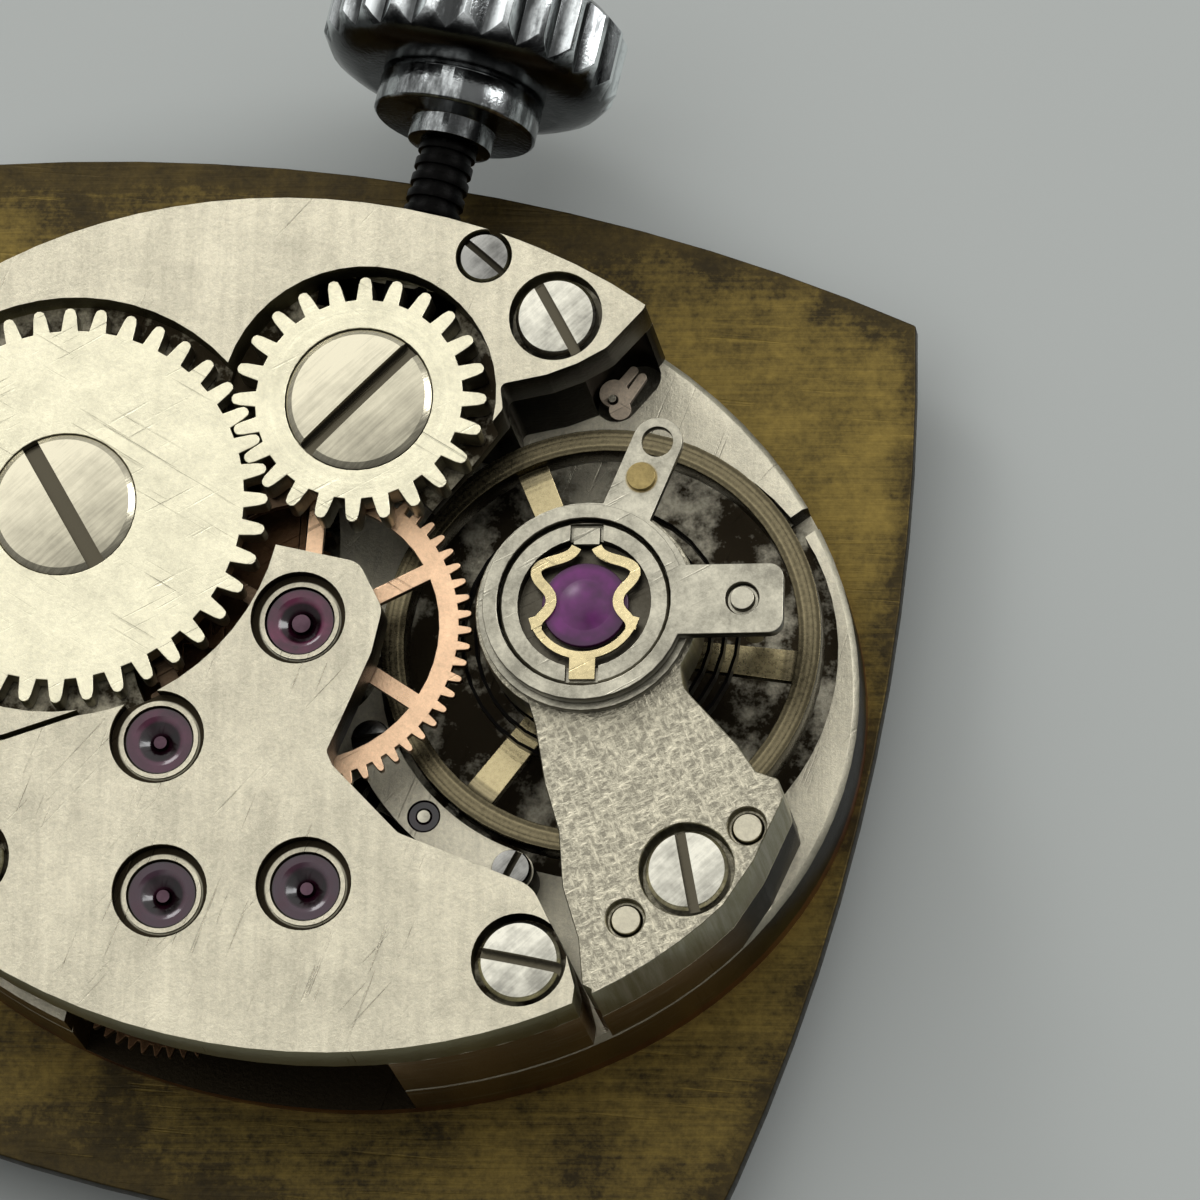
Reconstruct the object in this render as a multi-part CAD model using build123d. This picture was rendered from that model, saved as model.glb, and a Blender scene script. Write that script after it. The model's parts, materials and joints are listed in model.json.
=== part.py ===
from build123d import *
import math
import os

# A ladies' hand-wound watch movement with its dial, lying dial down. Sizes are in millimetres.
# X runs along the long side of the movement, Y points to the crown and Z from the dial to the
# bridges. The hands turn about Z, and the outer face of the dial is at z = 0.

# Fits
half_turn = 180
seat_gap = 0.015
run_gap = 0.02
joint_gap = 0.08
overrun = 0.5

# Dial
dial_corner_x_share = 0.9072
dial_corner_y_share = 1.122
dial_bulge_x = 0.81
dial_bulge_y = 0.83
dial_thick = 0.40
dial_edge_chamfer = 0.06
dial_foot_radius = 0.35
dial_foot_length = 0.70
dial_foot_x_share = 0.7712
dial_foot_y_share = 0.4715

# Heights of the movement
plate_half_length = 7.65
plate_half_width = 6.15
movement_height = 3.50
bridge_thick = 0.78
cock_thick = 1.20
cock_arm_thick = 0.80
rim_thick = 1.25
recess_depth = 0.57
web_thick = 0.28
lever_floor_step = 0.05
rim_chamfer = 0.08
bridge_chamfer = 0.04

# Axes of the train, seen from the bridges
barrel_x = -3.69
barrel_y = 1.01
third_x = -1.536
third_y = -2.05
fourth_x = -0.961
fourth_y = -4.189
escape_x = 0.987
escape_y = -3.702
balance_x = 3.95
balance_y = 0.87
crown_wheel_x = 0.07
crown_wheel_y = 3.29
minute_x = -1.421
minute_y = 1.261
setting_x = 0.0
setting_y = 2.75
click_x = -6.45
click_y = -1.05

# Teeth of the wheels
barrel_teeth = 74
centre_pinion_leaves = 10
centre_teeth = 60
third_pinion_leaves = 8
third_teeth = 64
fourth_pinion_leaves = 8
fourth_teeth = 60
escape_pinion_leaves = 6
escape_teeth = 15
ratchet_teeth = 40
crown_wheel_teeth = 24
winding_teeth = 20
cannon_teeth = 12
minute_teeth = 36
minute_pinion_leaves = 10
hour_teeth = 40
setting_teeth = 16
crown_wheel_angle = -4.5
wheel_rise_share = 1.15
wheel_fall_share = 1.30
pinion_rise_share = 0.80
tooth_root_share = 0.378
tooth_tip_share = 0.077
leaf_tip_share = 0.121
round_tooth_shares = ((-1.30, 0.30), (0.35, 0.215), (0.95, 0.155), (1.15, 0.055))

# Winding wheels on the barrel bridge
ratchet_thick = 0.35
crown_wheel_thick = 0.49
wheel_top_drop = 0.05
ratchet_recess_radius = 3.05
crown_recess_radius = 1.95
big_head_radius = 1.03
big_head_thick = 0.28
big_head_proud = 0.03
big_slot_width = 0.24
ratchet_square = 0.90
arbor_shoulder_radius = 0.66
barrel_pivot_radius = 0.45
crown_boss_drop = 0.33
crown_core_radius = 0.74
crown_core_bore = 0.32
crown_slot_angle = 57.0
ratchet_slot_angle = -48.0

# Barrel
barrel_play = 0.10
barrel_height = 1.25
barrel_drum_radius = 3.25
barrel_wall = 0.16
barrel_floor = 0.14
barrel_tooth_height = 0.40
cover_thick = 0.15
arbor_hub_radius = 0.80
mainspring_thick = 0.09
mainspring_turns = 7
mainspring_clearance = 0.06

# Going train
wheel_thick = 0.12
wheel_play = 0.10
arbor_radius = 0.15
pivot_radius = 0.09
centre_pivot_radius = 0.13
wheel_hub_radius = 0.42
spoke_width = 0.24
centre_rim_width = 0.28
centre_spoke_angle = -22.0
centre_arbor_radius = 0.27
small_rim_width = 0.20
fourth_wheel_rise = 0.30
leaf_height = 0.35
escape_radius = 1.70
escape_thick = 0.12
escape_rise = 0.15
escape_rim_width = 0.16
escape_spoke_width = 0.16
escape_angle = 0.0
pivot_proud = 0.06

# Jewels
jewel_radius = 0.48
jewel_thick = 0.30
jewel_sink_radius = 0.36
jewel_sink_depth = 0.14
jewel_recess_radius = 0.668
jewel_recess_depth = 0.20
jewel_collar_width = 0.08
jewel_collar_height = 0.05
small_jewel_radius = 0.22

# Screws
screw_head_radius = 0.57
screw_recess_radius = 0.658
screw_recess_depth = 0.36
screw_head_drop = 0.02
screw_shank_radius = 0.30
screw_slot_width = 0.15
screw_slot_depth = 0.14
screw_edge = 0.05
screw_bite = 1.10
barrel_screw_shares = (0.33124, 0.80959)
train_screw_shares = (0.54431, -0.68033)
left_screw_shares = (-0.49542, -0.69268)
cock_screw_shares = (0.80275, -0.40569)
cock_slot_angle = -67.0
train_slot_angle = 0.0
barrel_slot_angle = -49.5
left_slot_angle = 35.0
lever_screw_x = 1.33
lever_screw_y = 5.66
lever_screw_head = 0.36
lever_screw_recess = 0.40
lever_slot_angle = -30.0
lever_shank_radius = 0.20
pallet_screw_head = 0.28
small_head_thick = 0.18
small_slot_width = 0.10
small_slot_depth = 0.08
small_shank_radius = 0.18
cock_pin_radius = 0.20
cock_pin_hole_radius = 0.27
cock_pin_drop = 0.16
cock_pin_shares = ((0.8915, -0.28293), (0.71503, -0.54146))
pin_bite = 0.70
pin_rise = 0.45
bridge_pin_shares = ((-0.69281, -0.58537), (0.39216, -0.79675), (-0.28758, 0.84553), (-0.81046, -0.42276))

# Lever escapement
fork_thick = 0.16
fork_play = 0.02
fork_arm_width = 0.20
fork_pin_reach = 0.60
fork_horn_width = 0.10
fork_slot_width = 0.16
fork_slot_depth = 0.22
fork_horn_reach = 0.10
stone_width = 0.17
stone_length = 0.40
stone_thick = 0.18
holder_start = 0.25
holder_end = 0.34
holder_width = 0.36
pallet_hub_radius = 0.26
pallet_cock_inner = 3.20
pallet_cock_outer = 3.80
pallet_cock_first_angle = 215.0
pallet_cock_sweep_angle = 47.0
pallet_cock_low_rise = 0.25
pallet_cock_thick = 0.40
pallet_pocket_width = 0.78
pallet_slot_angles = (20.0, 75.0)

# Balance
balance_radius = 3.10
balance_rim_width = 0.32
balance_rim_height = 0.50
balance_rim_rise = 0.35
balance_arm_angles = (124.0, 244.0, 4.0)
balance_arm_width = 0.46
balance_arm_thick = 0.16
balance_arm_rise = 0.12
balance_hub_radius = 0.50
balance_clearance = 0.15
staff_radius = 0.18
staff_pivot_radius = 0.06
roller_radius = 0.80
roller_thick = 0.12
roller_gap = 0.10
safety_radius = 0.40
impulse_radius = 0.06
collet_radius = 0.42
hairspring_rise = 0.20
hairspring_height = 0.20
hairspring_thick = 0.045
hairspring_turns = 8
hairspring_outer = 1.99
spiral_steps = 32

# Regulator, stud carrier and shock setting on the balance cock
cock_end_radius = 1.56
shock_radius = 1.19
shock_recess_radius = 0.93
shock_proud = 0.30
shock_floor_drop = 0.05
shock_neck_radius = 0.62
ring_play = 0.02
regulator_ring_radius = 1.50
regulator_thick = 0.14
regulator_angle = 80.0
regulator_arm_width = 0.70
regulator_hole_reach = 2.55
regulator_hole_radius = 0.22
curb_reach = 1.99
curb_pin_radius = 0.045
curb_boss_drop = 0.05
curb_boss_proud = 0.08
curb_boss_radius = 0.20
stud_ring_radius = 1.41
stud_thick = 0.20
stud_arm_corner = 0.20
stud_arm_end = 0.565
stud_angle = 11.8
stud_arm_width = 1.00
stud_reach = 2.20
stud_hole_radius = 0.235
stud_radius = 0.165
cap_jewel_radius = 0.60
cap_jewel_thick = 0.16
cap_jewel_dome = 0.09
cap_dome_radius = 0.37
lyre_thick = 0.06
lyre_width = 0.15
lyre_ring_radius = 0.80
lyre_ring_width = 0.11
lyre_ring_angle = 75.0
lyre_shares = ((0.15, 0.88), (0.20, 0.80), (0.45, 0.68), (0.745, 0.49), (0.72, 0.40), (0.52, 0.14),
               (0.50, 0.03), (0.56, -0.12), (0.70, -0.30), (0.70, -0.40))
shock_tab_width = 0.46
shock_tab_length = 0.24
shock_tab_gap = 0.05
shock_tab_depth = 0.10
lyre_angle = 11.0
hole_jewel_radius = 0.40
hole_jewel_thick = 0.16
lower_block_radius = 0.90
lower_jewel_radius = 0.55
lower_jewel_thick = 0.16
lower_jewel_drop = 0.10

# Winding stem and crown
stem_rise = 1.55
stem_radius = 0.42
stem_square = 0.46
stem_pilot_radius = 0.22
stem_pilot_y = 2.56
pilot_wall = 0.40
stem_square_y = 3.18
stem_groove_y = 5.27
stem_groove_width = 0.28
stem_groove_radius = 0.26
stem_thread_y = 6.55
stem_thread_pitch = 0.25
stem_thread_count = 5
stem_thread_depth = 0.05
clutch_y = 3.60
clutch_length = 0.80
clutch_radius = 0.95
clutch_groove_radius = 0.42
clutch_groove_width = 0.30
clutch_tooth_count = 8
clutch_sweep_share = 0.42
clutch_tooth_depth = 0.10
winding_radius = 1.374
winding_hub_radius = 0.85
winding_tooth_length = 0.42
crown_start_y = 7.83
crown_boss_radius = 0.61
crown_boss_length = 0.30
crown_collar_radius = 1.19
crown_collar_length = 0.50
crown_groove_radius = 1.05
crown_groove_width = 0.06
crown_edge = 0.04
crown_radius = 2.16
crown_under_length = 0.44
crown_under_shares = ((0.0, 0.682), (0.23, 0.841), (0.455, 0.923), (1.0, 1.0))
crown_rim_length = 0.75
crown_dome = 0.26
crown_top_radius = 1.84
crown_bore_depth = 0.60
flute_count = 24
flute_depth = 0.16
flute_half_width = 0.255
flute_shares = ((-1.0, 0.0), (-0.60, 0.45), (0.0, 1.0), (1.0, 1.6))
crown_pull = 0.50
clutch_travel = 0.29

# Keyless levers under the plate
lever_thick = 0.26
lever_recess_depth = 0.40
setting_recess_depth = 0.72
lever_pin_x = 0.16
lever_tail_angle = -15.0
lever_tail_reach = 0.90
lever_play = 0.06
lever_arm_length = 1.20
lever_arm_width = 0.30
lever_boss_radius = 0.40
lever_pin_radius = 0.11
yoke_x = 2.35
yoke_y = 4.35
yoke_boss_radius = 0.42
yoke_post_radius = 0.20
yoke_pin_x = 0.56
yoke_pin_radius = 0.10
yoke_arm_width = 0.34
jumper_x = 3.65
jumper_y = 4.25
jumper_width = 0.24
jumper_boss_radius = 0.42
jumper_reach = 0.26

# Small forked plate beside the barrel bridge
detent_pocket_depth = 0.50
detent_pocket_width = 0.66
detent_thick = 0.10
detent_rise = 0.36
detent_post_radius = 0.055
detent_boss_radius = 0.12
detent_hole_radius = 0.075
detent_lobe_radius = 0.16
detent_body_radius = 0.21
detent_prong_width = 0.14
detent_shares = ((0.4183, 0.7512), (0.4471, 0.8163))
detent_post_shares = (0.41046, 0.7512)
detent_body_shares = (0.40915, 0.76748)
detent_lobe_shares = (0.42745, 0.73171)
detent_tip_shares = ((0.43529, 0.82927), (0.45359, 0.81626))

# Motion work under the plate
hour_seat_radius = 0.62
hour_pipe_radius = 0.78
hour_pipe_drop = 0.45
cannon_pipe_radius = 0.46
minute_seat_radius = 0.30
minute_seat_length = 0.45
cannon_pipe_drop = 0.95
cannon_bore_radius = 0.17
hour_hub_radius = 0.90
motion_thick = 0.12
motion_play = 0.06
cannon_leaf_height = 0.24
cannon_leaf_rise = 0.30
setting_thick = 0.29
minute_post_radius = 0.20
dial_hole_radius = 0.84

# Click on the barrel bridge
click_thick = 0.24
click_boss_radius = 0.42
click_nose_angle = 199.0
click_nose_depth = 0.05
click_spring_start_shares = (-0.73203, -0.44715)
click_spring_end_shares = (-0.8366, -0.25691)
click_spring_width = 0.10
click_screw_head = 0.30
click_screw_thick = 0.12
click_recess_radius = 0.56

# Outlines, as shares of the half length, the half width and, for corner radii, the half width
train_bridge_shares = [
    (-0.863, -0.561, 0), (-0.477, -0.407, 0.049), (-0.340, -0.309, 0), (-0.261, 0, 0),
    (-0.078, 0.159, 0.02), (0.085, 0.154, 0.049), (0.148, 0.057, 0.049), (0.148, -0.049, 0.065),
    (0.111, -0.293, 0.016), (0.128, -0.322, 0.016), (0.275, -0.447, 0.033),
    (0.536, -0.509, 0.081), (0.627, -0.650, 0.049), (0.654, -0.715, 0), (0.680, -1.073, 0),
    (-0.863, -1.073, 0),
]
barrel_bridge_shares = [
    (-1.046, -0.683, 0), (-0.288, -0.358, 0), (-0.092, 0.065, 0), (-0.078, 0.325, 0),
    (0.176, 0.325, 0), (0.229, 0.447, 0), (0.277, 0.569, 0.016), (0.261, 0.626, 0.016),
    (0.340, 0.667, 0.033), (0.392, 0.707, 0.033), (0.438, 0.756, 0.049), (0.488, 0.862, 0.033),
    (0.510, 1.057, 0), (-1.046, 1.057, 0),
]
balance_cock_shares = [
    (0.685, -0.715, 0), (0.667, -0.709, 0), (0.641, -0.608, 0.05), (0.591, -0.499, 0.05),
    (0.561, -0.376, 0.05), (0.516, -0.275, 0.05), (0.473, -0.143, 0), (0.392, 0.033, 0),
    (0.693, 0.098, 0), (0.722, 0.003, 0.05), (0.841, -0.104, 0.03), (0.884, -0.156, 0.02),
    (0.928, -0.163, 0.015), (0.944, -0.205, 0.015), (0.918, -0.358, 0.03), (0.882, -0.472, 0),
    (0.950, -0.720, 0), (0.700, -0.800, 0),
]
foot_start_share = 0.32
left_block_share = -0.39
crown_block_share = 0.545
notch_start_share = -0.294
notch_end_share = 0.337
notch_depth_share = 0.855
notch_lip = 0.22
slit_start_share = -0.50
slit_drop = 0.92
slit_depth_share = 0.81
rim_slot_angle = 47.0
rim_slot_width = 0.36
rim_slot_depth = 0.45

# Heights and places that follow from the sizes above
bridge_top = dial_thick + movement_height
bridge_low = bridge_top - bridge_thick
cock_low = bridge_top - cock_thick
arm_low = bridge_top - cock_arm_thick
rim_top = dial_thick + rim_thick
recess_top = dial_thick + recess_depth
web_top = recess_top + web_thick
lever_floor = web_top + lever_floor_step
stem_z = dial_thick + stem_rise
barrel_low = web_top + barrel_play
barrel_top = barrel_low + barrel_height
third_low = barrel_top + wheel_play
third_top = third_low + wheel_thick
centre_low = bridge_low + wheel_play / 3
centre_top = centre_low + wheel_thick
relief_top = centre_top + wheel_play / 2
fourth_low = rim_top + fourth_wheel_rise
escape_low = lever_floor + escape_rise
fork_low = escape_low - fork_play
fork_top = fork_low + fork_thick
balance_low = rim_top + balance_rim_rise
balance_arm_low = balance_low + balance_arm_rise
hairspring_low = balance_low + balance_rim_height + hairspring_rise
wheel_top = bridge_top - wheel_top_drop
barrel_at = (barrel_x, barrel_y)
centre_at = (0, 0)
third_at = (third_x, third_y)
fourth_at = (fourth_x, fourth_y)
escape_at = (escape_x, escape_y)
balance_at = (balance_x, balance_y)
crown_wheel_at = (crown_wheel_x, crown_wheel_y)
minute_at = (minute_x, minute_y)
setting_at = (setting_x, setting_y)
click_at = (click_x, click_y)
lever_screw_at = (lever_screw_x, lever_screw_y)
yoke_at = (yoke_x, yoke_y)
jumper_at = (jumper_x, jumper_y)


def distance(a, b):
    return math.dist(a, b)


def bearing(a, b):
    """Angle in degrees of the line from a to b."""
    return math.degrees(math.atan2(b[1] - a[1], b[0] - a[0]))


def away(at, reach, angle):
    """The point at a distance and an angle from another."""
    turn = math.radians(angle)
    return (at[0] + reach * math.cos(turn), at[1] + reach * math.sin(turn))


def disc(radius, low, high, at=(0, 0)):
    return Pos(at[0], at[1], low) * extrude(Circle(radius), high - low)


def tube(outer, inner, low, high, at=(0, 0)):
    return Pos(at[0], at[1], low) * extrude(Circle(outer) - Circle(inner), high - low)


def prism(face, low, high):
    return Pos(0, 0, low) * extrude(face, high - low)


def block(x_low, x_high, y_low, y_high, z_low, z_high):
    size = (x_high - x_low, y_high - y_low, z_high - z_low)
    middle = ((x_low + x_high) / 2, (y_low + y_high) / 2, (z_low + z_high) / 2)
    return Pos(*middle) * Box(*size)


def on_plate(shares):
    """A place from its shares of the plate's half length and half width."""
    return (shares[0] * plate_half_length, shares[1] * plate_half_width)


def dot(radius, at):
    return Pos(at[0], at[1]) * Circle(radius)


def bar(a, b, width):
    """A straight arm seen from above, with round ends."""
    middle = ((a[0] + b[0]) / 2, (a[1] + b[1]) / 2)
    turn = bearing(a, b)
    return Pos(*middle) * Rot(0, 0, turn) * SlotCenterToCenter(distance(a, b), width)


def outline(shares):
    """A closed outline from shares of the plate's half sizes, with rounded corners."""
    points = [(x * plate_half_length, y * plate_half_width) for x, y, r in shares]
    radii = [r * plate_half_width for x, y, r in shares]
    return make_face(FilletPolyline(*points, radius=radii, close=True))


def stack(at, steps):
    """An arbor turned from steps of radius, low and high."""
    return Part() + [disc(radius, low, high, at) for radius, low, high in steps]


# Gear pairs

def module_of(a, b, teeth_a, teeth_b):
    return 2 * distance(a, b) / (teeth_a + teeth_b)


def mesh_phase(a, b, teeth_a, teeth_b, phase_a):
    """Angle of one tooth of b, so that its teeth stand in the gaps of a."""
    line = bearing(a, b)
    offset = (line - phase_a) / (360 / teeth_a)
    return line + half_turn + (offset * 2 + 1) * half_turn / teeth_b


def toothed_face(teeth, module, phase, rows):
    """A toothed disc. Each row is a height in modules and a half width as a share of the pitch."""
    pitch = 2 * math.pi / teeth
    flank = [(height, -half) for height, half in rows] + [(height, half) for height, half in rows[::-1]]
    points = []
    for tooth in range(teeth):
        turn = math.radians(phase) + tooth * pitch
        for height, half in flank:
            radius = (teeth / 2 + height) * module
            points.append((radius * math.cos(turn + half * pitch), radius * math.sin(turn + half * pitch)))
    return Polygon(*points)


def gear_face(teeth, module, phase):
    """Straight-flanked wheel teeth."""
    return toothed_face(teeth, module, phase, ((-wheel_fall_share, tooth_root_share),
                                               (wheel_rise_share, tooth_tip_share)))


def leaf_face(teeth, module, phase):
    """Straight-flanked pinion leaves with broad tips."""
    return toothed_face(teeth, module, phase, ((-wheel_fall_share, tooth_root_share),
                                               (pinion_rise_share, leaf_tip_share)))


def round_gear_face(teeth, module, phase):
    """Blunt teeth with rounded tips, about as wide as the gaps between them."""
    return toothed_face(teeth, module, phase, round_tooth_shares)


def wheel(at, face, root_radius, rim_width, spokes, first, bore, low, thick, hub=wheel_hub_radius,
          width=spoke_width):
    """A train wheel: toothed rim, spokes and hub."""
    rim_inner = root_radius - rim_width
    windows = Circle(rim_inner) - Circle(hub)
    for spoke in range(spokes):
        turn = first + spoke * 360 / spokes
        windows -= Rot(0, 0, turn) * Pos(rim_inner / 2, 0) * Rectangle(rim_inner + rim_width, width)
    body = face - windows - Circle(bore)
    return Pos(at[0], at[1], low) * extrude(body, thick)


def pinion(at, teeth, module, phase, low, high, steps):
    leaves = leaf_face(teeth, module, phase)
    return Pos(at[0], at[1], low) * extrude(leaves, high - low) + stack(at, steps)


barrel_module = module_of(barrel_at, centre_at, barrel_teeth, centre_pinion_leaves)
centre_module = module_of(centre_at, third_at, centre_teeth, third_pinion_leaves)
third_module = module_of(third_at, fourth_at, third_teeth, fourth_pinion_leaves)
fourth_module = module_of(fourth_at, escape_at, fourth_teeth, escape_pinion_leaves)
winding_module = module_of(barrel_at, crown_wheel_at, ratchet_teeth, crown_wheel_teeth)
minute_module = module_of(centre_at, minute_at, cannon_teeth, minute_teeth)
hour_module = module_of(centre_at, minute_at, hour_teeth, minute_pinion_leaves)


def tip_radius(teeth, module):
    return (teeth / 2 + wheel_rise_share) * module


def root_radius(teeth, module):
    return (teeth / 2 - wheel_fall_share) * module


barrel_phase = bearing(barrel_at, centre_at)
ratchet_phase = mesh_phase(crown_wheel_at, barrel_at, crown_wheel_teeth, ratchet_teeth, crown_wheel_angle)
minute_phase = mesh_phase(centre_at, minute_at, cannon_teeth, minute_teeth, bearing(centre_at, minute_at))
hour_phase = mesh_phase(minute_at, centre_at, minute_pinion_leaves, hour_teeth,
                        bearing(minute_at, centre_at))
barrel_tip = tip_radius(barrel_teeth, barrel_module)
centre_tip = tip_radius(centre_teeth, centre_module)
third_tip = tip_radius(third_teeth, third_module)
fourth_tip = tip_radius(fourth_teeth, fourth_module)
barrel_pocket_radius = barrel_tip + barrel_play
balance_pocket_radius = balance_radius + balance_clearance
centre_relief_radius = centre_tip + wheel_play
ratchet_low = wheel_top - ratchet_thick
crown_wheel_low = wheel_top - crown_wheel_thick
floor_gap = wheel_play / 3
pallet_reach = escape_radius / math.cos(math.radians(30))
pallet_at = away(escape_at, pallet_reach, bearing(escape_at, balance_at))
winding_y = crown_wheel_y + root_radius(crown_wheel_teeth, winding_module) + floor_gap
winding_end = winding_y + winding_tooth_length
winding_tip = winding_radius + pinion_rise_share * winding_radius * 2 / winding_teeth
winding_start = clutch_y + clutch_length + run_gap
pinion_slot_end = winding_end + joint_gap / 2
winding_phase = 90.0
lever_low = dial_thick + motion_play
lever_ceiling = dial_thick + lever_recess_depth
setting_ceiling = dial_thick + setting_recess_depth
shock_floor = bridge_top + shock_floor_drop
hole_jewel_low = shock_floor - hole_jewel_thick
cap_low = shock_floor
lyre_low = cap_low + cap_jewel_thick
lower_jewel_top = lever_floor - lower_jewel_drop
jewel_top = bridge_top - jewel_recess_depth
pivot_top = jewel_top - jewel_sink_depth + pivot_proud
detent_at, detent_pocket_at = [on_plate(place) for place in detent_shares]
detent_post_at = on_plate(detent_post_shares)
detent_floor = rim_top - detent_pocket_depth
detent_low = detent_floor + detent_rise
screws = (
    (on_plate(barrel_screw_shares), barrel_slot_angle, bridge_low),
    (on_plate(train_screw_shares), train_slot_angle, bridge_low),
    (on_plate(left_screw_shares), left_slot_angle, bridge_low),
    (on_plate(cock_screw_shares), cock_slot_angle, cock_low),
)
cock_pins = tuple(on_plate(place) for place in cock_pin_shares)
bridge_pins = tuple(on_plate(place) for place in bridge_pin_shares)
dial_foot = on_plate((dial_foot_x_share, dial_foot_y_share))
dial_feet = (dial_foot, (-dial_foot[0], -dial_foot[1]))

plate_outline = Ellipse(plate_half_length, plate_half_width)
train_outline = outline(train_bridge_shares) & plate_outline
train_outline -= dot(ratchet_recess_radius + joint_gap, barrel_at)
train_shadow = offset(train_outline, amount=joint_gap)
barrel_outline = outline(barrel_bridge_shares) & plate_outline
barrel_outline = barrel_outline - train_shadow - Circle(centre_relief_radius)
cock_outline = (outline(balance_cock_shares) & plate_outline) + dot(cock_end_radius, balance_at)


# Dial

def make_dial():
    """A cushion-shaped brass dial whose four sides are shallow arcs."""
    dial_corner_x = dial_corner_x_share * plate_half_length
    dial_corner_y = dial_corner_y_share * plate_half_width
    corners = [(dial_corner_x, dial_corner_y), (-dial_corner_x, dial_corner_y),
               (-dial_corner_x, -dial_corner_y), (dial_corner_x, -dial_corner_y)]
    middles = [(0, dial_corner_y + dial_bulge_y), (-dial_corner_x - dial_bulge_x, 0),
               (0, -dial_corner_y - dial_bulge_y), (dial_corner_x + dial_bulge_x, 0)]
    sides = []
    for side in range(4):
        sides.append(ThreePointArc(corners[side], middles[side], corners[(side + 1) % 4]))
    body = prism(make_face(sides), 0, dial_thick)
    body = chamfer(body.edges().group_by(Axis.Z)[0], dial_edge_chamfer)
    body -= disc(dial_hole_radius, -overrun, dial_thick + overrun)
    for foot in dial_feet:
        body += disc(dial_foot_radius, dial_thick, dial_thick + dial_foot_length, foot)
    return body


# Main plate

def lower_jewel_places():
    """Each small jewel in the plate: its place and the floor it is flush with."""
    return ((centre_at, web_top), (third_at, rim_top), (fourth_at, rim_top), (escape_at, lever_floor),
            (pallet_at, lever_floor))


def make_plate():
    """The plate: a rim, raised blocks under the bridges, and pockets on both faces."""
    body = prism(plate_outline, dial_thick, rim_top)
    body = chamfer(body.edges().group_by(Axis.Z)[-1], rim_chamfer)
    length = plate_half_length
    width = plate_half_width
    everywhere = (length + overrun, width + overrun)
    left = Pos((left_block_share * length - everywhere[0]) / 2, 0) * Rectangle(
        everywhere[0] + left_block_share * length, 2 * everywhere[1])
    body += prism(plate_outline & left, rim_top, bridge_low)
    lip = Pos((left_block_share + notch_start_share) * length / 2, -width) * Rectangle(
        (notch_start_share - left_block_share) * length, 2 * (1 - slit_depth_share) * width)
    body += prism(plate_outline & lip, rim_top, bridge_low - slit_drop)
    north = Pos(0, (crown_block_share * width + everywhere[1]) / 2) * Rectangle(
        2 * everywhere[0], everywhere[1] - crown_block_share * width)
    body += prism(barrel_outline & north, rim_top, bridge_low)
    foot = Pos((foot_start_share * length + everywhere[0]) / 2, 0) * Rectangle(
        everywhere[0] - foot_start_share * length, 2 * everywhere[1])
    body += prism(train_outline & foot, rim_top, bridge_low)
    body += prism(cock_outline - dot(balance_pocket_radius, balance_at), rim_top, cock_low)
    body += block(-pilot_wall - stem_pilot_radius, pilot_wall + stem_pilot_radius, stem_pilot_y,
                  stem_square_y, web_top, stem_z + stem_pilot_radius + pilot_wall)
    top = bridge_low + overrun
    pockets = [
        disc(barrel_pocket_radius, web_top, top, barrel_at),
        disc(arbor_hub_radius, web_top, top, centre_at),
        disc(third_tip + wheel_play, third_low - wheel_play, top, third_at),
        disc(fourth_tip + wheel_play / 2, fourth_low - wheel_play, top, fourth_at),
        disc(escape_radius + joint_gap / 2, lever_floor, top, escape_at),
        disc(balance_pocket_radius, lever_floor, top, balance_at),
        prism(bar(pallet_at, balance_at, 1.5 * pallet_pocket_width), lever_floor, rim_top + overrun),
    ]
    for place, turn in stone_places():
        arm = bar(pallet_at, away(place, stone_length / 2, turn), pallet_pocket_width)
        pockets.append(prism(arm, lever_floor, rim_top + overrun))
    pockets.append(block(notch_start_share * length, notch_end_share * length, -everywhere[1],
                         -notch_depth_share * width, dial_thick + notch_lip, top))
    pockets.append(block(slit_start_share * length, notch_start_share * length, -everywhere[1],
                         -slit_depth_share * width, bridge_low - slit_drop, top))
    slot_end = away(balance_at, 2 * balance_radius, rim_slot_angle)
    slot = bar(away(balance_at, balance_radius, rim_slot_angle), slot_end, rim_slot_width)
    pockets.append(prism(slot, rim_top - rim_slot_depth, top))
    pockets.append(prism(bar(detent_at, detent_pocket_at, detent_pocket_width), detent_floor, top))
    pockets += winding_pockets(top) + under_pockets() + plate_holes()
    for pocket in pockets:
        body -= pocket
    body += disc(minute_post_radius, dial_thick + motion_play, recess_top, minute_at)
    body += disc(minute_post_radius, dial_thick + motion_play, setting_ceiling, setting_at)
    body += disc(yoke_post_radius, dial_thick + motion_play, lever_ceiling, yoke_at)
    body += disc(detent_boss_radius, detent_floor, detent_low, detent_post_at)
    body += disc(detent_post_radius, detent_low, detent_low + detent_thick + joint_gap, detent_post_at)
    return body


def winding_pockets(top):
    """Room for the winding pinion, the sliding pinion and the stem."""
    pinion_room = winding_tip + joint_gap
    clutch_room = clutch_radius + joint_gap
    return [
        block(-pinion_room, pinion_room, clutch_y + clutch_length, pinion_slot_end, -overrun, top),
        block(-clutch_room, clutch_room, stem_square_y, clutch_y + clutch_length, -overrun, top),
        along_stem(stem_radius + run_gap, pinion_slot_end - joint_gap, plate_half_width + overrun),
        along_stem(stem_pilot_radius + run_gap, stem_pilot_y - overrun, stem_square_y + joint_gap),
    ]


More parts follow.
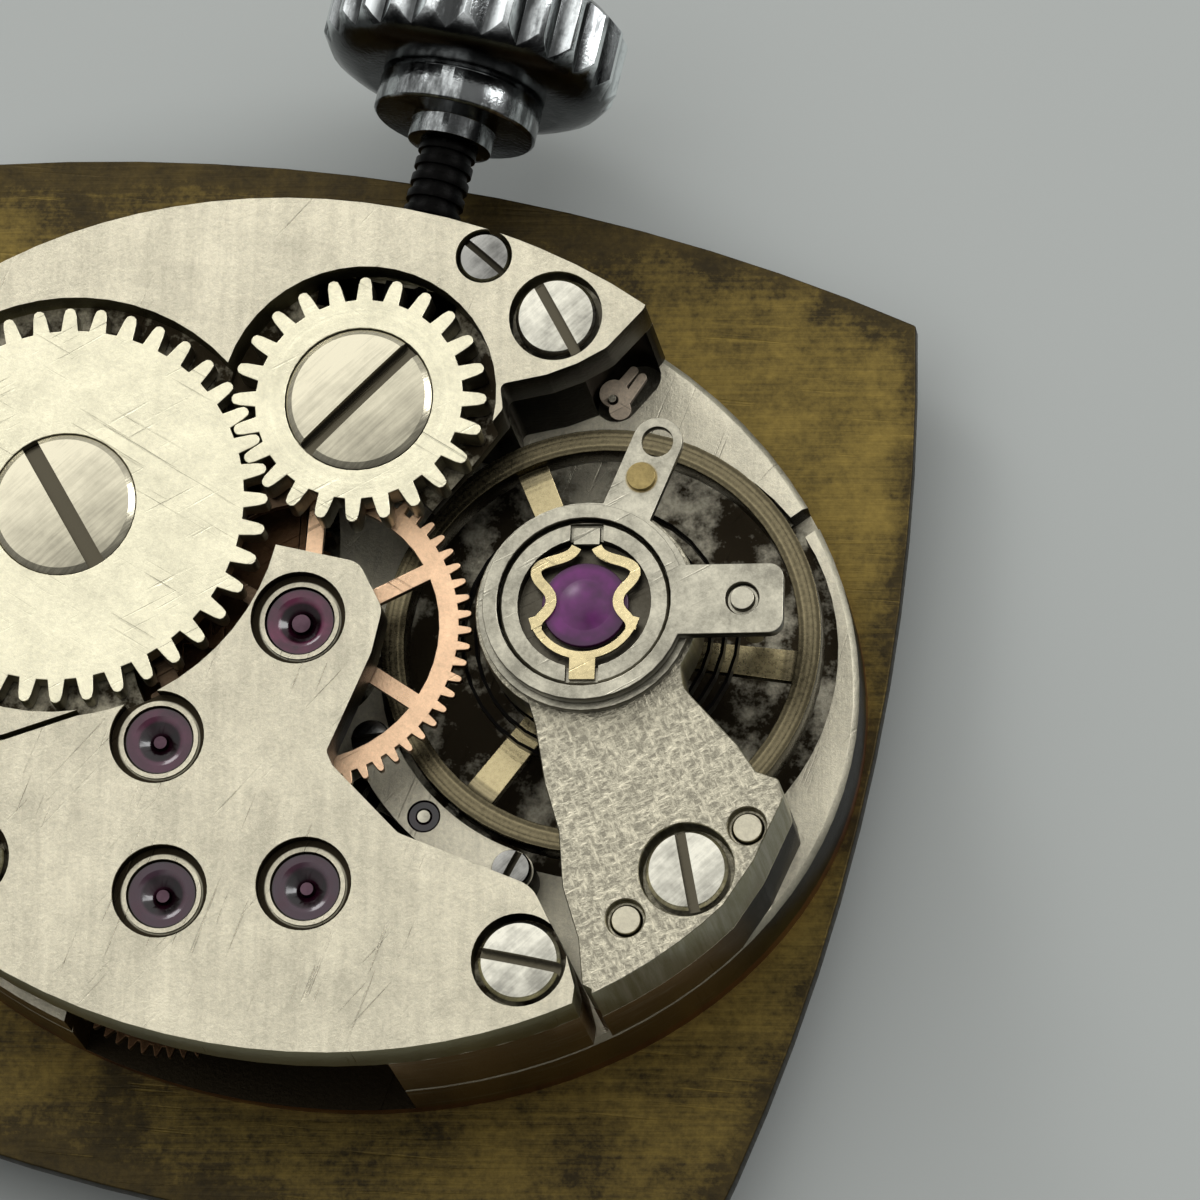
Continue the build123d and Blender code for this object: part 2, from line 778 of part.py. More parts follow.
def under_pockets():
    """Recesses on the dial side for the motion work and the keyless levers."""
    low = dial_thick - overrun
    hour_room = tip_radius(hour_teeth, hour_module) + wheel_play
    minute_room = tip_radius(minute_teeth, minute_module) + wheel_play
    setting_room = tip_radius(setting_teeth, minute_module) + wheel_play
    pin_room = lever_pin_radius + lever_play
    lever_room = lever_arm_length + lever_arm_width / 2 + lever_play
    lever_low_y = lever_screw_y - lever_boss_radius - crown_pull
    yoke_low_y = min(yoke_y, clutch_y) - yoke_boss_radius - lever_play
    return [
        disc(hour_room, low, recess_top),
        disc(minute_room, low, recess_top, minute_at),
        disc(setting_room, low, setting_ceiling, setting_at),
        prism(plate_outline & (Pos(lever_screw_x, (lever_low_y + plate_half_width) / 2) * Rectangle(
            2 * lever_room, plate_half_width - lever_low_y)), low, lever_ceiling),
        block(-yoke_arm_width, yoke_x + yoke_boss_radius + lever_play, yoke_low_y, lever_low_y, low,
              lever_ceiling),
        prism(bar(jumper_at, jumper_nose(), 2 * jumper_boss_radius + 2 * lever_play), low, lever_ceiling),
        block(lever_pin_x - pin_room, lever_pin_x + pin_room + lever_play, stem_groove_y - lever_play,
              stem_groove_y + stem_groove_width + crown_pull + lever_play, low, stem_z),
        block(yoke_pin_x - yoke_pin_radius - lever_play, yoke_pin_x + yoke_pin_radius + lever_play,
              stem_square_y, clutch_y + clutch_length, low, stem_z),
    ]


def plate_holes():
    """Holes for jewels, shock block, dial feet, screws and steady pins."""
    holes = []
    for place, floor in lower_jewel_places():
        holes.append(disc(small_jewel_radius + seat_gap, floor - web_thick, floor + overrun, place))
        holes.append(disc(arbor_radius + run_gap, dial_thick - overrun, floor, place))
    holes.append(disc(lower_block_radius + seat_gap, dial_thick - overrun, lever_floor + overrun,
                      balance_at))
    for foot in dial_feet:
        holes.append(disc(dial_foot_radius + seat_gap, dial_thick - overrun,
                          dial_thick + dial_foot_length + seat_gap, foot))
    for place, slot, seat in screws:
        holes.append(disc(screw_shank_radius + seat_gap, seat - screw_bite - seat_gap, seat + overrun,
                          place))
    for place, seat in steady_pins():
        holes.append(disc(cock_pin_radius + seat_gap, seat - pin_bite - seat_gap, seat + overrun, place))
    holes.append(disc(lever_shank_radius + seat_gap, dial_thick - overrun, bridge_low + overrun,
                      lever_screw_at))
    for foot in pallet_feet():
        holes.append(disc(small_shank_radius + seat_gap, lever_floor - seat_gap, rim_top + overrun, foot))
    holes.append(disc(barrel_pivot_radius + run_gap, dial_thick - overrun, web_top + overrun, barrel_at))
    return holes


def steady_pins():
    """Each steady pin: its place and the face where its bridge meets the plate."""
    pins = [(place, cock_low) for place in cock_pins]
    pins += [(place, bridge_low) for place in bridge_pins]
    return pins


def pallet_feet():
    """The two screwed feet at the ends of the pallet cock."""
    middle = (pallet_cock_inner + pallet_cock_outer) / 2
    return (away(balance_at, middle, pallet_cock_first_angle),
            away(balance_at, middle, pallet_cock_first_angle + pallet_cock_sweep_angle))


def along_stem(radius, y_low, y_high):
    return Pos(0, y_low, stem_z) * Rot(-90, 0, 0) * extrude(Circle(radius), y_high - y_low)


# Bridges

def jewel_seat(body, at):
    """A round recess with a raised collar and a bore for a jewel."""
    body -= disc(jewel_recess_radius, jewel_top, bridge_top + overrun, at)
    body += disc(jewel_radius + jewel_collar_width, jewel_top, jewel_top + jewel_collar_height, at)
    body -= disc(jewel_radius + seat_gap, jewel_top - jewel_thick, jewel_top + jewel_thick, at)
    body -= disc(jewel_sink_radius, bridge_low - overrun, jewel_top, at)
    return body


def screw_seat(body, at, low):
    body -= disc(screw_recess_radius, bridge_top - screw_recess_depth, bridge_top + overrun, at)
    body -= disc(screw_shank_radius + seat_gap, low - overrun, bridge_top, at)
    return body


def pin_seats(body, places, low, high):
    for place in places:
        body -= disc(cock_pin_radius + seat_gap, low - overrun, high, place)
    return body


def make_train_bridge():
    body = prism(train_outline, bridge_low, bridge_top)
    body -= disc(centre_relief_radius, bridge_low - overrun, relief_top)
    for place in (centre_at, third_at, fourth_at, escape_at):
        body = jewel_seat(body, place)
    body = screw_seat(body, screws[1][0], bridge_low)
    body = screw_seat(body, screws[2][0], bridge_low)
    pinion_room = tip_radius(third_pinion_leaves, centre_module) + joint_gap
    body -= disc(pinion_room, bridge_low - overrun, relief_top, third_at)
    return pin_seats(body, bridge_pins[:2], bridge_low, bridge_low + pin_rise + seat_gap)


def make_barrel_bridge():
    body = prism(barrel_outline, bridge_low, bridge_top)
    body -= disc(ratchet_recess_radius, ratchet_low - floor_gap, bridge_top + overrun, barrel_at)
    body -= disc(crown_recess_radius, crown_wheel_low - floor_gap, bridge_top + overrun, crown_wheel_at)
    body += disc(crown_core_radius, crown_wheel_low - floor_gap - crown_boss_drop, crown_wheel_low,
                 crown_wheel_at)
    body -= disc(crown_core_bore, bridge_low - overrun, bridge_top, crown_wheel_at)
    body -= disc(arbor_shoulder_radius + run_gap, bridge_low - overrun, bridge_top, barrel_at)
    window = math.sqrt(winding_tip ** 2 - (bridge_low - stem_z) ** 2) + joint_gap
    body -= block(-window, window, winding_y - joint_gap, winding_end + joint_gap, bridge_low - overrun,
                  stem_z + winding_tip + floor_gap)
    body = screw_seat(body, screws[0][0], bridge_low)
    body -= disc(lever_screw_recess, bridge_top - screw_recess_depth, bridge_top + overrun, lever_screw_at)
    body -= disc(lever_shank_radius + seat_gap, bridge_low - overrun, bridge_top, lever_screw_at)
    body -= click_room()
    body -= disc(lever_shank_radius + seat_gap, bridge_low - overrun, bridge_top, click_at)
    return pin_seats(body, bridge_pins[2:], bridge_low, bridge_low + pin_rise + seat_gap)


def make_balance_cock():
    body = prism(cock_outline, cock_low, bridge_top)
    body -= disc(balance_pocket_radius, cock_low - overrun, arm_low, balance_at)
    body -= disc(shock_neck_radius + seat_gap, arm_low - overrun, bridge_top + overrun, balance_at)
    body = screw_seat(body, screws[3][0], cock_low)
    for place in cock_pins:
        body -= disc(cock_pin_hole_radius, bridge_top - cock_pin_drop, bridge_top + overrun, place)
    return pin_seats(body, cock_pins, cock_low, bridge_top)


def make_pallet_cock():
    """A curved bridge round the balance, with a foot at each end."""
    low = rim_top + pallet_cock_low_rise
    high = low + pallet_cock_thick
    middle = (pallet_cock_inner + pallet_cock_outer) / 2
    foot_radius = (pallet_cock_outer - pallet_cock_inner) / 2
    steps = 24
    arc = [away(balance_at, middle, pallet_cock_first_angle + pallet_cock_sweep_angle * step / steps)
           for step in range(steps + 1)]
    body = prism(strip_face(arc, 2 * foot_radius), low, high)
    for foot in pallet_feet():
        body += disc(foot_radius, rim_top, high, foot)
        body -= disc(small_shank_radius + seat_gap, rim_top - overrun, high + overrun, foot)
    body -= disc(small_jewel_radius + seat_gap, low - overrun, high + overrun, pallet_at)
    return body


# Screws and pins

def screw(at, turn, head_radius, head_low, head_thick, slot_width, slot_depth, shank, shank_low,
          edge=screw_edge):
    """A flat-headed screw with a straight slot and a bevelled edge."""
    top = head_low + head_thick
    head = disc(head_radius, head_low, top, at)
    head = chamfer(head.edges().group_by(Axis.Z)[-1], edge)
    slot = Pos(at[0], at[1], top) * Rot(0, 0, turn) * Box(3 * head_radius, slot_width, 2 * slot_depth)
    return head + disc(shank, shank_low, head_low, at) - slot


def make_bridge_screws():
    head_low = bridge_top - screw_recess_depth
    head_thick = screw_recess_depth - screw_head_drop
    parts = []
    for place, turn, seat in screws:
        parts.append(screw(place, turn, screw_head_radius, head_low, head_thick, screw_slot_width,
                           screw_slot_depth, screw_shank_radius, seat - screw_bite))
    return Compound(children=parts)


def make_lever_screw():
    head_low = bridge_top - screw_recess_depth
    return screw(lever_screw_at, lever_slot_angle, lever_screw_head, head_low,
                 screw_recess_depth - 2 * screw_head_drop, small_slot_width, small_slot_depth,
                 lever_shank_radius, lever_low)


def make_small_screws():
    head_low = rim_top + pallet_cock_low_rise + pallet_cock_thick
    parts = [make_lever_screw()]
    for turn, foot in zip(pallet_slot_angles, pallet_feet()):
        parts.append(screw(foot, turn, pallet_screw_head, head_low, small_head_thick, small_slot_width,
                           small_slot_depth, small_shank_radius, lever_floor))
    return Compound(children=parts)


def make_steady_pins():
    parts = []
    for place, seat in steady_pins():
        top = bridge_top - cock_pin_drop / 2 if seat == cock_low else seat + pin_rise
        parts.append(disc(cock_pin_radius, seat - pin_bite, top, place))
    return Compound(children=parts)


# Jewels

def sunk_jewel(at, hole, high):
    """A ring jewel with a cone-shaped oil sink on top."""
    body = disc(jewel_radius, high - jewel_thick, high, at)
    body -= disc(hole, high - jewel_thick - overrun, high + overrun, at)
    sink = Cone(hole, jewel_sink_radius, jewel_sink_depth)
    return body - Pos(at[0], at[1], high - jewel_sink_depth / 2) * sink


def make_bridge_jewels():
    parts = [sunk_jewel(centre_at, centre_pivot_radius + run_gap, jewel_top)]
    for place in (third_at, fourth_at, escape_at):
        parts.append(sunk_jewel(place, pivot_radius + run_gap, jewel_top))
    return Compound(children=parts)


def make_small_jewels():
    """The plate's ring jewels, the pallet cock's, and the lower balance jewels."""
    parts = []
    for place, floor in lower_jewel_places():
        hole = centre_pivot_radius + run_gap if place == centre_at else pivot_radius + run_gap
        parts.append(tube(small_jewel_radius, hole, floor - web_thick, floor, place))
    low = rim_top + pallet_cock_low_rise
    parts.append(tube(small_jewel_radius, pivot_radius + run_gap, low, low + pallet_cock_thick - seat_gap,
                      pallet_at))
    parts.append(tube(lower_jewel_radius, staff_pivot_radius + run_gap, lower_jewel_top - lower_jewel_thick,
                      lower_jewel_top, balance_at))
    cap_top = lower_jewel_top - lower_jewel_thick - seat_gap
    parts.append(disc(lower_jewel_radius, cap_top - lower_jewel_thick, cap_top, balance_at))
    return Compound(children=parts)


# Barrel

def make_barrel_drum():
    teeth = gear_face(barrel_teeth, barrel_module, barrel_phase)
    body = disc(barrel_drum_radius, barrel_low, barrel_top - cover_thick, barrel_at)
    toothed = Pos(barrel_at[0], barrel_at[1], barrel_low + barrel_play) * extrude(teeth, barrel_tooth_height)
    body += toothed
    body -= disc(barrel_drum_radius - barrel_wall, barrel_low + barrel_floor, barrel_top + overrun, barrel_at)
    body += tube(barrel_drum_radius, barrel_drum_radius - barrel_wall / 2, barrel_top - cover_thick,
                 barrel_top, barrel_at)
    return body - disc(arbor_shoulder_radius + run_gap, barrel_low - overrun, barrel_top, barrel_at)


def make_barrel_cover():
    return tube(barrel_drum_radius - barrel_wall / 2 - seat_gap, arbor_shoulder_radius + run_gap,
                barrel_top - cover_thick, barrel_top, barrel_at)


def make_barrel_arbor():
    hub_low = barrel_low + barrel_floor + run_gap
    hub_high = barrel_top - cover_thick - run_gap
    body = stack(barrel_at, [
        (barrel_pivot_radius, dial_thick + joint_gap, barrel_low),
        (arbor_shoulder_radius, barrel_low, ratchet_low),
        (arbor_hub_radius, hub_low, hub_high),
    ])
    square = Pos(barrel_at[0], barrel_at[1], ratchet_low) * extrude(
        Rectangle(ratchet_square, ratchet_square), ratchet_thick - big_head_thick + big_head_proud)
    body += square
    return body - disc(screw_shank_radius + seat_gap, ratchet_low - screw_bite - seat_gap,
                       bridge_top, barrel_at)


def strip_face(path, width):
    """A flat strip of one width along a row of points."""
    left = []
    right = []
    last = len(path) - 1
    for index, (x, y) in enumerate(path):
        before = path[max(index - 1, 0)]
        after = path[min(index + 1, last)]
        turn = math.radians(bearing(before, after) + 90)
        side = (math.cos(turn) * width / 2, math.sin(turn) * width / 2)
        left.append((x + side[0], y + side[1]))
        right.append((x - side[0], y - side[1]))
    return make_face(Polyline(*right, *left[::-1], close=True))


def spiral_face(inner, outer, turns, thick, first):
    """A flat spiral strip seen from above, from its inner to its outer end."""
    steps = spiral_steps * turns
    path = []
    for step in range(steps + 1):
        share = step / steps
        path.append(away((0, 0), inner + (outer - inner) * share, first + 360 * turns * share))
    return strip_face(path, thick)


def make_mainspring():
    inner = arbor_hub_radius + mainspring_thick / 2 + mainspring_clearance
    outer = barrel_drum_radius - barrel_wall - mainspring_thick / 2 - mainspring_clearance
    face = spiral_face(inner, outer, mainspring_turns, mainspring_thick, 0)
    low = barrel_low + barrel_floor + mainspring_clearance
    return Pos(barrel_at[0], barrel_at[1], low) * extrude(
        face, barrel_height - barrel_floor - cover_thick - 2 * mainspring_clearance)


def make_ratchet_wheel():
    face = round_gear_face(ratchet_teeth, winding_module, ratchet_phase)
    body = Pos(barrel_at[0], barrel_at[1], ratchet_low) * extrude(face, ratchet_thick)
    seat = wheel_top - big_head_thick + big_head_proud
    body -= disc(big_head_radius + seat_gap, seat, wheel_top + overrun, barrel_at)
    side = ratchet_square + 2 * seat_gap
    return body - Pos(barrel_at[0], barrel_at[1], ratchet_low) * Box(side, side, 2 * ratchet_thick)


def make_ratchet_screw():
    seat = wheel_top - big_head_thick + big_head_proud
    return screw(barrel_at, ratchet_slot_angle, big_head_radius, seat, big_head_thick, big_slot_width,
                 screw_slot_depth, screw_shank_radius, ratchet_low - screw_bite)


def make_crown_wheel():
    face = round_gear_face(crown_wheel_teeth, winding_module, crown_wheel_angle)
    body = Pos(crown_wheel_x, crown_wheel_y, crown_wheel_low) * extrude(face, crown_wheel_thick)
    seat = wheel_top - big_head_thick + big_head_proud
    body -= disc(big_head_radius + run_gap, seat, wheel_top + overrun, crown_wheel_at)
    return body - disc(crown_core_radius + run_gap, bridge_low, bridge_top, crown_wheel_at)


def make_crown_wheel_core():
    seat = wheel_top - big_head_thick + big_head_proud
    return tube(crown_core_radius, crown_core_bore, crown_wheel_low, seat, crown_wheel_at)


def make_crown_wheel_screw():
    seat = wheel_top - big_head_thick + big_head_proud
    return screw(crown_wheel_at, crown_slot_angle, big_head_radius, seat, big_head_thick, big_slot_width,
                 screw_slot_depth, crown_core_bore - seat_gap, crown_wheel_low - floor_gap - crown_boss_drop)


# Going train

def make_centre_wheel():
    face = round_gear_face(centre_teeth, centre_module, bearing(centre_at, third_at))
    return wheel(centre_at, face, root_radius(centre_teeth, centre_module), centre_rim_width, 6,
                 centre_spoke_angle, centre_arbor_radius + seat_gap, centre_low, wheel_thick)


def make_centre_pinion():
    phase = mesh_phase(barrel_at, centre_at, barrel_teeth, centre_pinion_leaves, barrel_phase)
    low = barrel_low + barrel_play / 2
    high = low + 2 * barrel_tooth_height
    return pinion(centre_at, centre_pinion_leaves, barrel_module, phase, low, high, [
        (centre_pivot_radius, -hour_pipe_drop, low),
        (centre_arbor_radius, low, centre_top),
        (centre_pivot_radius, centre_top, pivot_top),
    ])


def make_cannon_pinion():
    phase = bearing(centre_at, minute_at)
    low = dial_thick + cannon_leaf_rise
    leaves = leaf_face(cannon_teeth, minute_module, phase)
    body = Pos(0, 0, low) * extrude(leaves, cannon_leaf_height)
    body += disc(cannon_pipe_radius, minute_seat_length - cannon_pipe_drop, low)
    body += disc(minute_seat_radius, -cannon_pipe_drop, minute_seat_length - cannon_pipe_drop)
    return body - disc(cannon_bore_radius, -cannon_pipe_drop - overrun, recess_top)


def make_third_wheel():
    face = gear_face(third_teeth, third_module, bearing(third_at, fourth_at))
    return wheel(third_at, face, root_radius(third_teeth, third_module), small_rim_width, 5, 30,
                 arbor_radius + seat_gap, third_low, wheel_thick)


def make_third_pinion():
    phase = mesh_phase(centre_at, third_at, centre_teeth, third_pinion_leaves,
                       bearing(centre_at, third_at))
    low = third_top
    return pinion(third_at, third_pinion_leaves, centre_module, phase, low, centre_top, [
        (pivot_radius, rim_top - web_thick + seat_gap, rim_top + joint_gap),
        (arbor_radius, rim_top + joint_gap, low),
        (pivot_radius, centre_top, pivot_top),
    ])


def make_fourth_wheel():
    face = gear_face(fourth_teeth, fourth_module, bearing(fourth_at, escape_at))
    return wheel(fourth_at, face, root_radius(fourth_teeth, fourth_module), small_rim_width, 4, 15,
                 arbor_radius + seat_gap, fourth_low, wheel_thick)


def make_fourth_pinion():
    phase = mesh_phase(third_at, fourth_at, third_teeth, fourth_pinion_leaves,
                       bearing(third_at, fourth_at))
    low = third_low - wheel_play
    high = low + leaf_height
    return pinion(fourth_at, fourth_pinion_leaves, third_module, phase, low, high, [
        (pivot_radius, rim_top - web_thick + seat_gap, rim_top + joint_gap),
        (arbor_radius, rim_top + joint_gap, low),
        (pivot_radius, high, pivot_top),
    ])


def make_escape_wheel():
    """Fifteen club teeth, raked forward, on a thin rim with four spokes."""
    pitch = 2 * math.pi / escape_teeth
    root = escape_radius - 2 * escape_rim_width
    rows = ((root, 0.0), (escape_radius * 0.94, 0.34), (escape_radius * 0.955, 0.50),
            (escape_radius, 0.64), (escape_radius * 0.97, 0.70), (root, 0.36))
    points = []
    for tooth in range(escape_teeth):
        turn = math.radians(escape_angle) + tooth * pitch
        for radius, share in rows:
            points.append((radius * math.cos(turn + share * pitch), radius * math.sin(turn + share * pitch)))
    return wheel(escape_at, Polygon(*points), root, escape_rim_width, 4, 20, arbor_radius + seat_gap,
                 escape_low, escape_thick, hub=pallet_hub_radius, width=escape_spoke_width)


def make_escape_pinion():
    phase = mesh_phase(fourth_at, escape_at, fourth_teeth, escape_pinion_leaves,
                       bearing(fourth_at, escape_at))
    low = fourth_low - wheel_play
    high = low + leaf_height
    return pinion(escape_at, escape_pinion_leaves, fourth_module, phase, low, high, [
        (pivot_radius, lever_floor - web_thick + seat_gap, lever_floor + joint_gap),
        (arbor_radius, lever_floor + joint_gap, low),
        (pivot_radius, high, pivot_top),
    ])


# Lever escapement and balance

def stone_places():
    """The two pallet stones: a place on the tooth circle and the direction of each."""
    line = bearing(escape_at, balance_at)
    return [(away(escape_at, escape_radius - fork_play, line + side * 30), line + side * 30 - side * 12)
            for side in (-1, 1)]


def make_pallet_fork():
    """Two short arms that hold the stones, and a lever with a forked end."""
    face = dot(pallet_hub_radius, pallet_at)
    for place, turn in stone_places():
        face += bar(pallet_at, away(place, holder_start, turn), fork_arm_width)
        holder = bar(away(place, holder_start, turn), away(place, holder_end, turn), holder_width)
        face += holder
    line = bearing(pallet_at, balance_at)
    reach = distance(pallet_at, balance_at) - fork_pin_reach
    tip = away(pallet_at, reach - fork_slot_depth / 2, line)
    face += bar(pallet_at, tip, fork_arm_width)
    fork_width = fork_slot_width + 2 * fork_horn_width
    fork_length = fork_slot_depth + 2 * fork_horn_reach
    middle = away(pallet_at, reach, line)
    face += Pos(*middle) * Rot(0, 0, line) * Rectangle(fork_length, fork_width)
    slot = away(pallet_at, reach + fork_horn_reach, line)
    face -= Pos(*slot) * Rot(0, 0, line) * Rectangle(fork_length, fork_slot_width)
    for place, turn in stone_places():
        seat = away(place, stone_length / 2, turn)
        face -= Pos(*seat) * Rot(0, 0, turn) * Rectangle(stone_length, stone_width + 2 * seat_gap)
    face -= dot(arbor_radius + seat_gap, pallet_at)
    return prism(face, fork_low, fork_top)


def make_pallet_stones():
    parts = []
    for place, turn in stone_places():
        seat = away(place, stone_length / 2, turn)
        face = Pos(*seat) * Rot(0, 0, turn) * Rectangle(stone_length, stone_width)
        middle = (fork_low + fork_top) / 2
        parts.append(prism(face, middle - stone_thick / 2, middle + stone_thick / 2))
    return Compound(children=parts)


def make_pallet_arbor():
    low = rim_top + pallet_cock_low_rise
    return stack(pallet_at, [
        (pivot_radius, lever_floor - web_thick + seat_gap, lever_floor + joint_gap / 2),
        (arbor_radius, lever_floor + joint_gap / 2, low - joint_gap / 2),
        (pivot_radius, low - joint_gap / 2, low + pallet_cock_thick),
    ])


def make_balance_wheel():
    """A smooth rim on three tapered arms."""
    rim = tube(balance_radius, balance_radius - balance_rim_width, balance_low,
               balance_low + balance_rim_height)
    inner = balance_radius - balance_rim_width / 2
    face = Circle(balance_hub_radius)
    for turn in balance_arm_angles:
        arm = Polygon((0, -balance_arm_width / 2.6), (inner, -balance_arm_width / 2),
                      (inner, balance_arm_width / 2), (0, balance_arm_width / 2.6))
        face += Rot(0, 0, turn) * arm
    body = rim + prism(face, balance_arm_low, balance_arm_low + balance_arm_thick)
    body = Pos(balance_at[0], balance_at[1], 0) * body
    return body - disc(staff_radius + seat_gap, balance_low - overrun, bridge_top, balance_at)


def make_balance_staff():
    flange_low = balance_arm_low - roller_gap / 2
    top = cap_low - joint_gap / 2
    return stack(balance_at, [
        (staff_pivot_radius, lower_jewel_top - lower_jewel_thick + seat_gap, lever_floor + joint_gap / 2),
        (arbor_radius, lever_floor + joint_gap / 2, flange_low),
        (balance_hub_radius * 0.8, flange_low, balance_arm_low),
        (staff_radius, balance_arm_low, hairspring_low + hairspring_height),
        (arbor_radius, hairspring_low + hairspring_height, arm_low + joint_gap / 2),
        (staff_pivot_radius, arm_low + joint_gap / 2, top),
    ])


def make_roller():
    """A double roller: the table that carries the impulse jewel, and the safety roller."""
    high = balance_arm_low - roller_gap
    low = high - roller_thick
    body = disc(roller_radius, low, high, balance_at) + disc(safety_radius, fork_low, low, balance_at)
    line = bearing(balance_at, pallet_at)
    crescent = away(balance_at, safety_radius, line)
    body -= disc(impulse_radius * 1.6, fork_low - overrun, low, crescent)
    body -= disc(impulse_radius + seat_gap, low - overrun, high + overrun,
                 away(balance_at, fork_pin_reach, line))
    return body - disc(arbor_radius + seat_gap, fork_low - overrun, high + overrun, balance_at)


def make_impulse_jewel():
    high = balance_arm_low - roller_gap
    place = away(balance_at, fork_pin_reach, bearing(balance_at, pallet_at))
    return disc(impulse_radius, fork_low + fork_play, high, place)


def hairspring_radius(angle):
    """Radius of the hairspring's last turn at an angle."""
    pitch = (hairspring_outer - collet_radius) / hairspring_turns
    back = (stud_angle - angle) % 360
    return hairspring_outer - pitch * back / 360


def make_hairspring():
    """A flat spiral from the collet out to the stud."""
    inner = collet_radius + hairspring_thick / 2 + seat_gap
    first = stud_angle - 360 * hairspring_turns
    face = spiral_face(inner, hairspring_outer, hairspring_turns, hairspring_thick, first)
    return Pos(balance_x, balance_y, hairspring_low) * extrude(face, hairspring_height)


def make_hairspring_collet():
    body = tube(collet_radius, staff_radius + seat_gap, hairspring_low, hairspring_low + hairspring_height,
                balance_at)
    slit = Pos(balance_x, balance_y, hairspring_low) * Rot(0, 0, 150) * Pos(collet_radius / 2, 0, 0)
    return body - slit * Box(collet_radius, staff_radius / 4, 3 * hairspring_height)


# Parts round the upper balance jewel

def make_shock_block():
    """The sprung jewel's housing: a ring pressed into the cock, with two slots for its spring."""
    top = bridge_top + shock_proud
    body = disc(shock_radius, bridge_top, top, balance_at)
    body = chamfer(body.edges().group_by(Axis.Z)[-1], bridge_chamfer)
    body += disc(shock_neck_radius, arm_low, bridge_top, balance_at)
    body -= disc(shock_recess_radius, shock_floor, top + overrun, balance_at)
    turned_round = Pos(balance_x, balance_y, 0) * Rot(0, 0, lyre_angle)
    half = shock_tab_width / 2
    slot_end = shock_radius - shock_tab_gap
    slot_inner = shock_recess_radius * math.cos(math.asin(half / shock_recess_radius)) - shock_tab_gap
    body -= turned_round * block(-half, half, -slot_end, -slot_inner, lyre_low - seat_gap, top + overrun)
    body -= turned_round * block(-half, half, slot_inner, slot_end, top - shock_tab_depth, top + overrun)
    tab_end = slot_end - shock_tab_gap
    tab = half - shock_tab_gap
    body += turned_round * block(-tab, tab, tab_end - shock_tab_length, tab_end, top - shock_tab_depth,
                                 top - seat_gap)
    body -= disc(hole_jewel_radius + seat_gap, hole_jewel_low, shock_floor + seat_gap, balance_at)
    return body - disc(arbor_radius + joint_gap / 2, arm_low - overrun, shock_floor, balance_at)


def make_hole_jewel():
    return tube(hole_jewel_radius, staff_pivot_radius + run_gap, hole_jewel_low, shock_floor, balance_at)


def make_cap_jewel():
    """A flat-backed jewel with a low dome in a flat border."""
    high = cap_low + cap_jewel_thick
    body = disc(cap_jewel_radius, cap_low, high, balance_at)
    sphere_radius = (cap_dome_radius ** 2 + cap_jewel_dome ** 2) / (2 * cap_jewel_dome)
    dome = Pos(balance_x, balance_y, high + cap_jewel_dome - sphere_radius) * Sphere(sphere_radius)
    return body + (dome & disc(cap_dome_radius, high, high + cap_jewel_dome, balance_at))


def make_shock_spring():
    """A lyre of flat gold wire: a half ring with a tab, and two waisted arms over the jewel."""
    outer = shock_recess_radius
    ring = Circle(lyre_ring_radius) - Circle(lyre_ring_radius - lyre_ring_width)
    spread = outer * math.tan(math.radians(lyre_ring_angle))
    face = ring & Polygon((0, 0), (-spread, -outer), (spread, -outer))
    tab_end = shock_radius - 2 * shock_tab_gap
    inner = lyre_ring_radius - lyre_ring_width
    face += Pos(0, -(tab_end + inner) / 2) * Rectangle(shock_tab_width - 2 * shock_tab_gap, tab_end - inner)
    for side in (-1, 1):
        points = [(side * x * outer, y * outer) for x, y in lyre_shares]
        line = Spline(*points)
        path = [line @ (step / spiral_steps) for step in range(spiral_steps + 1)]
        face += strip_face([(point.X, point.Y) for point in path], lyre_width)
    return Pos(balance_x, balance_y, lyre_low) * Rot(0, 0, lyre_angle) * extrude(face, lyre_thick)


def ring_with_arm(ring_radius, turn, arm, low, thick):
    """A flat ring that grips the shock block, with one arm along a direction."""
    face = Circle(ring_radius) + Rot(0, 0, turn) * arm
    face -= Circle(shock_radius + run_gap)
    return Pos(balance_x, balance_y, low) * extrude(face, thick)


def make_regulator():
    """The index: a split ring, an arm with a sighting hole, and two curb pins on a brass boss."""
    low = bridge_top + ring_play
    reach = regulator_hole_reach
    arm = bar((shock_radius, 0), (reach, 0), regulator_arm_width)
    body = ring_with_arm(regulator_ring_radius, regulator_angle, arm, low, regulator_thick)
    body -= disc(regulator_hole_radius, low - overrun, low + overrun,
                 away(balance_at, reach, regulator_angle))
    boss = away(balance_at, curb_reach, regulator_angle)
    body += disc(curb_boss_radius, low - curb_boss_drop, low + regulator_thick + curb_boss_proud, boss)
    spring = hairspring_radius(regulator_angle)
    gap = hairspring_thick / 2 + run_gap + curb_pin_radius
    for side in (-1, 1):
        pin = away(balance_at, spring + side * gap, regulator_angle)
        body += disc(curb_pin_radius, hairspring_low, low, pin)
    return body


def make_stud_carrier():
    low = bridge_top + 2 * ring_play + regulator_thick
    end = stud_reach + stud_arm_end
    arm = Pos(end / 2, 0) * RectangleRounded(end, stud_arm_width, stud_arm_corner)
    body = ring_with_arm(stud_ring_radius, stud_angle, arm, low, stud_thick)
    return body - disc(stud_hole_radius, low - overrun, low + overrun,
                       away(balance_at, stud_reach, stud_angle))


def make_stud():
    """The stud hangs in the carrier's hole and holds the outer end of the hairspring."""
    low = bridge_top + 2 * ring_play + regulator_thick
    place = away(balance_at, stud_reach, stud_angle)
    body = disc(stud_radius, hairspring_low, low + stud_thick + ring_play, place)
    body += tube(stud_hole_radius - seat_gap, stud_radius, low, low + stud_thick / 2, place)
    return body


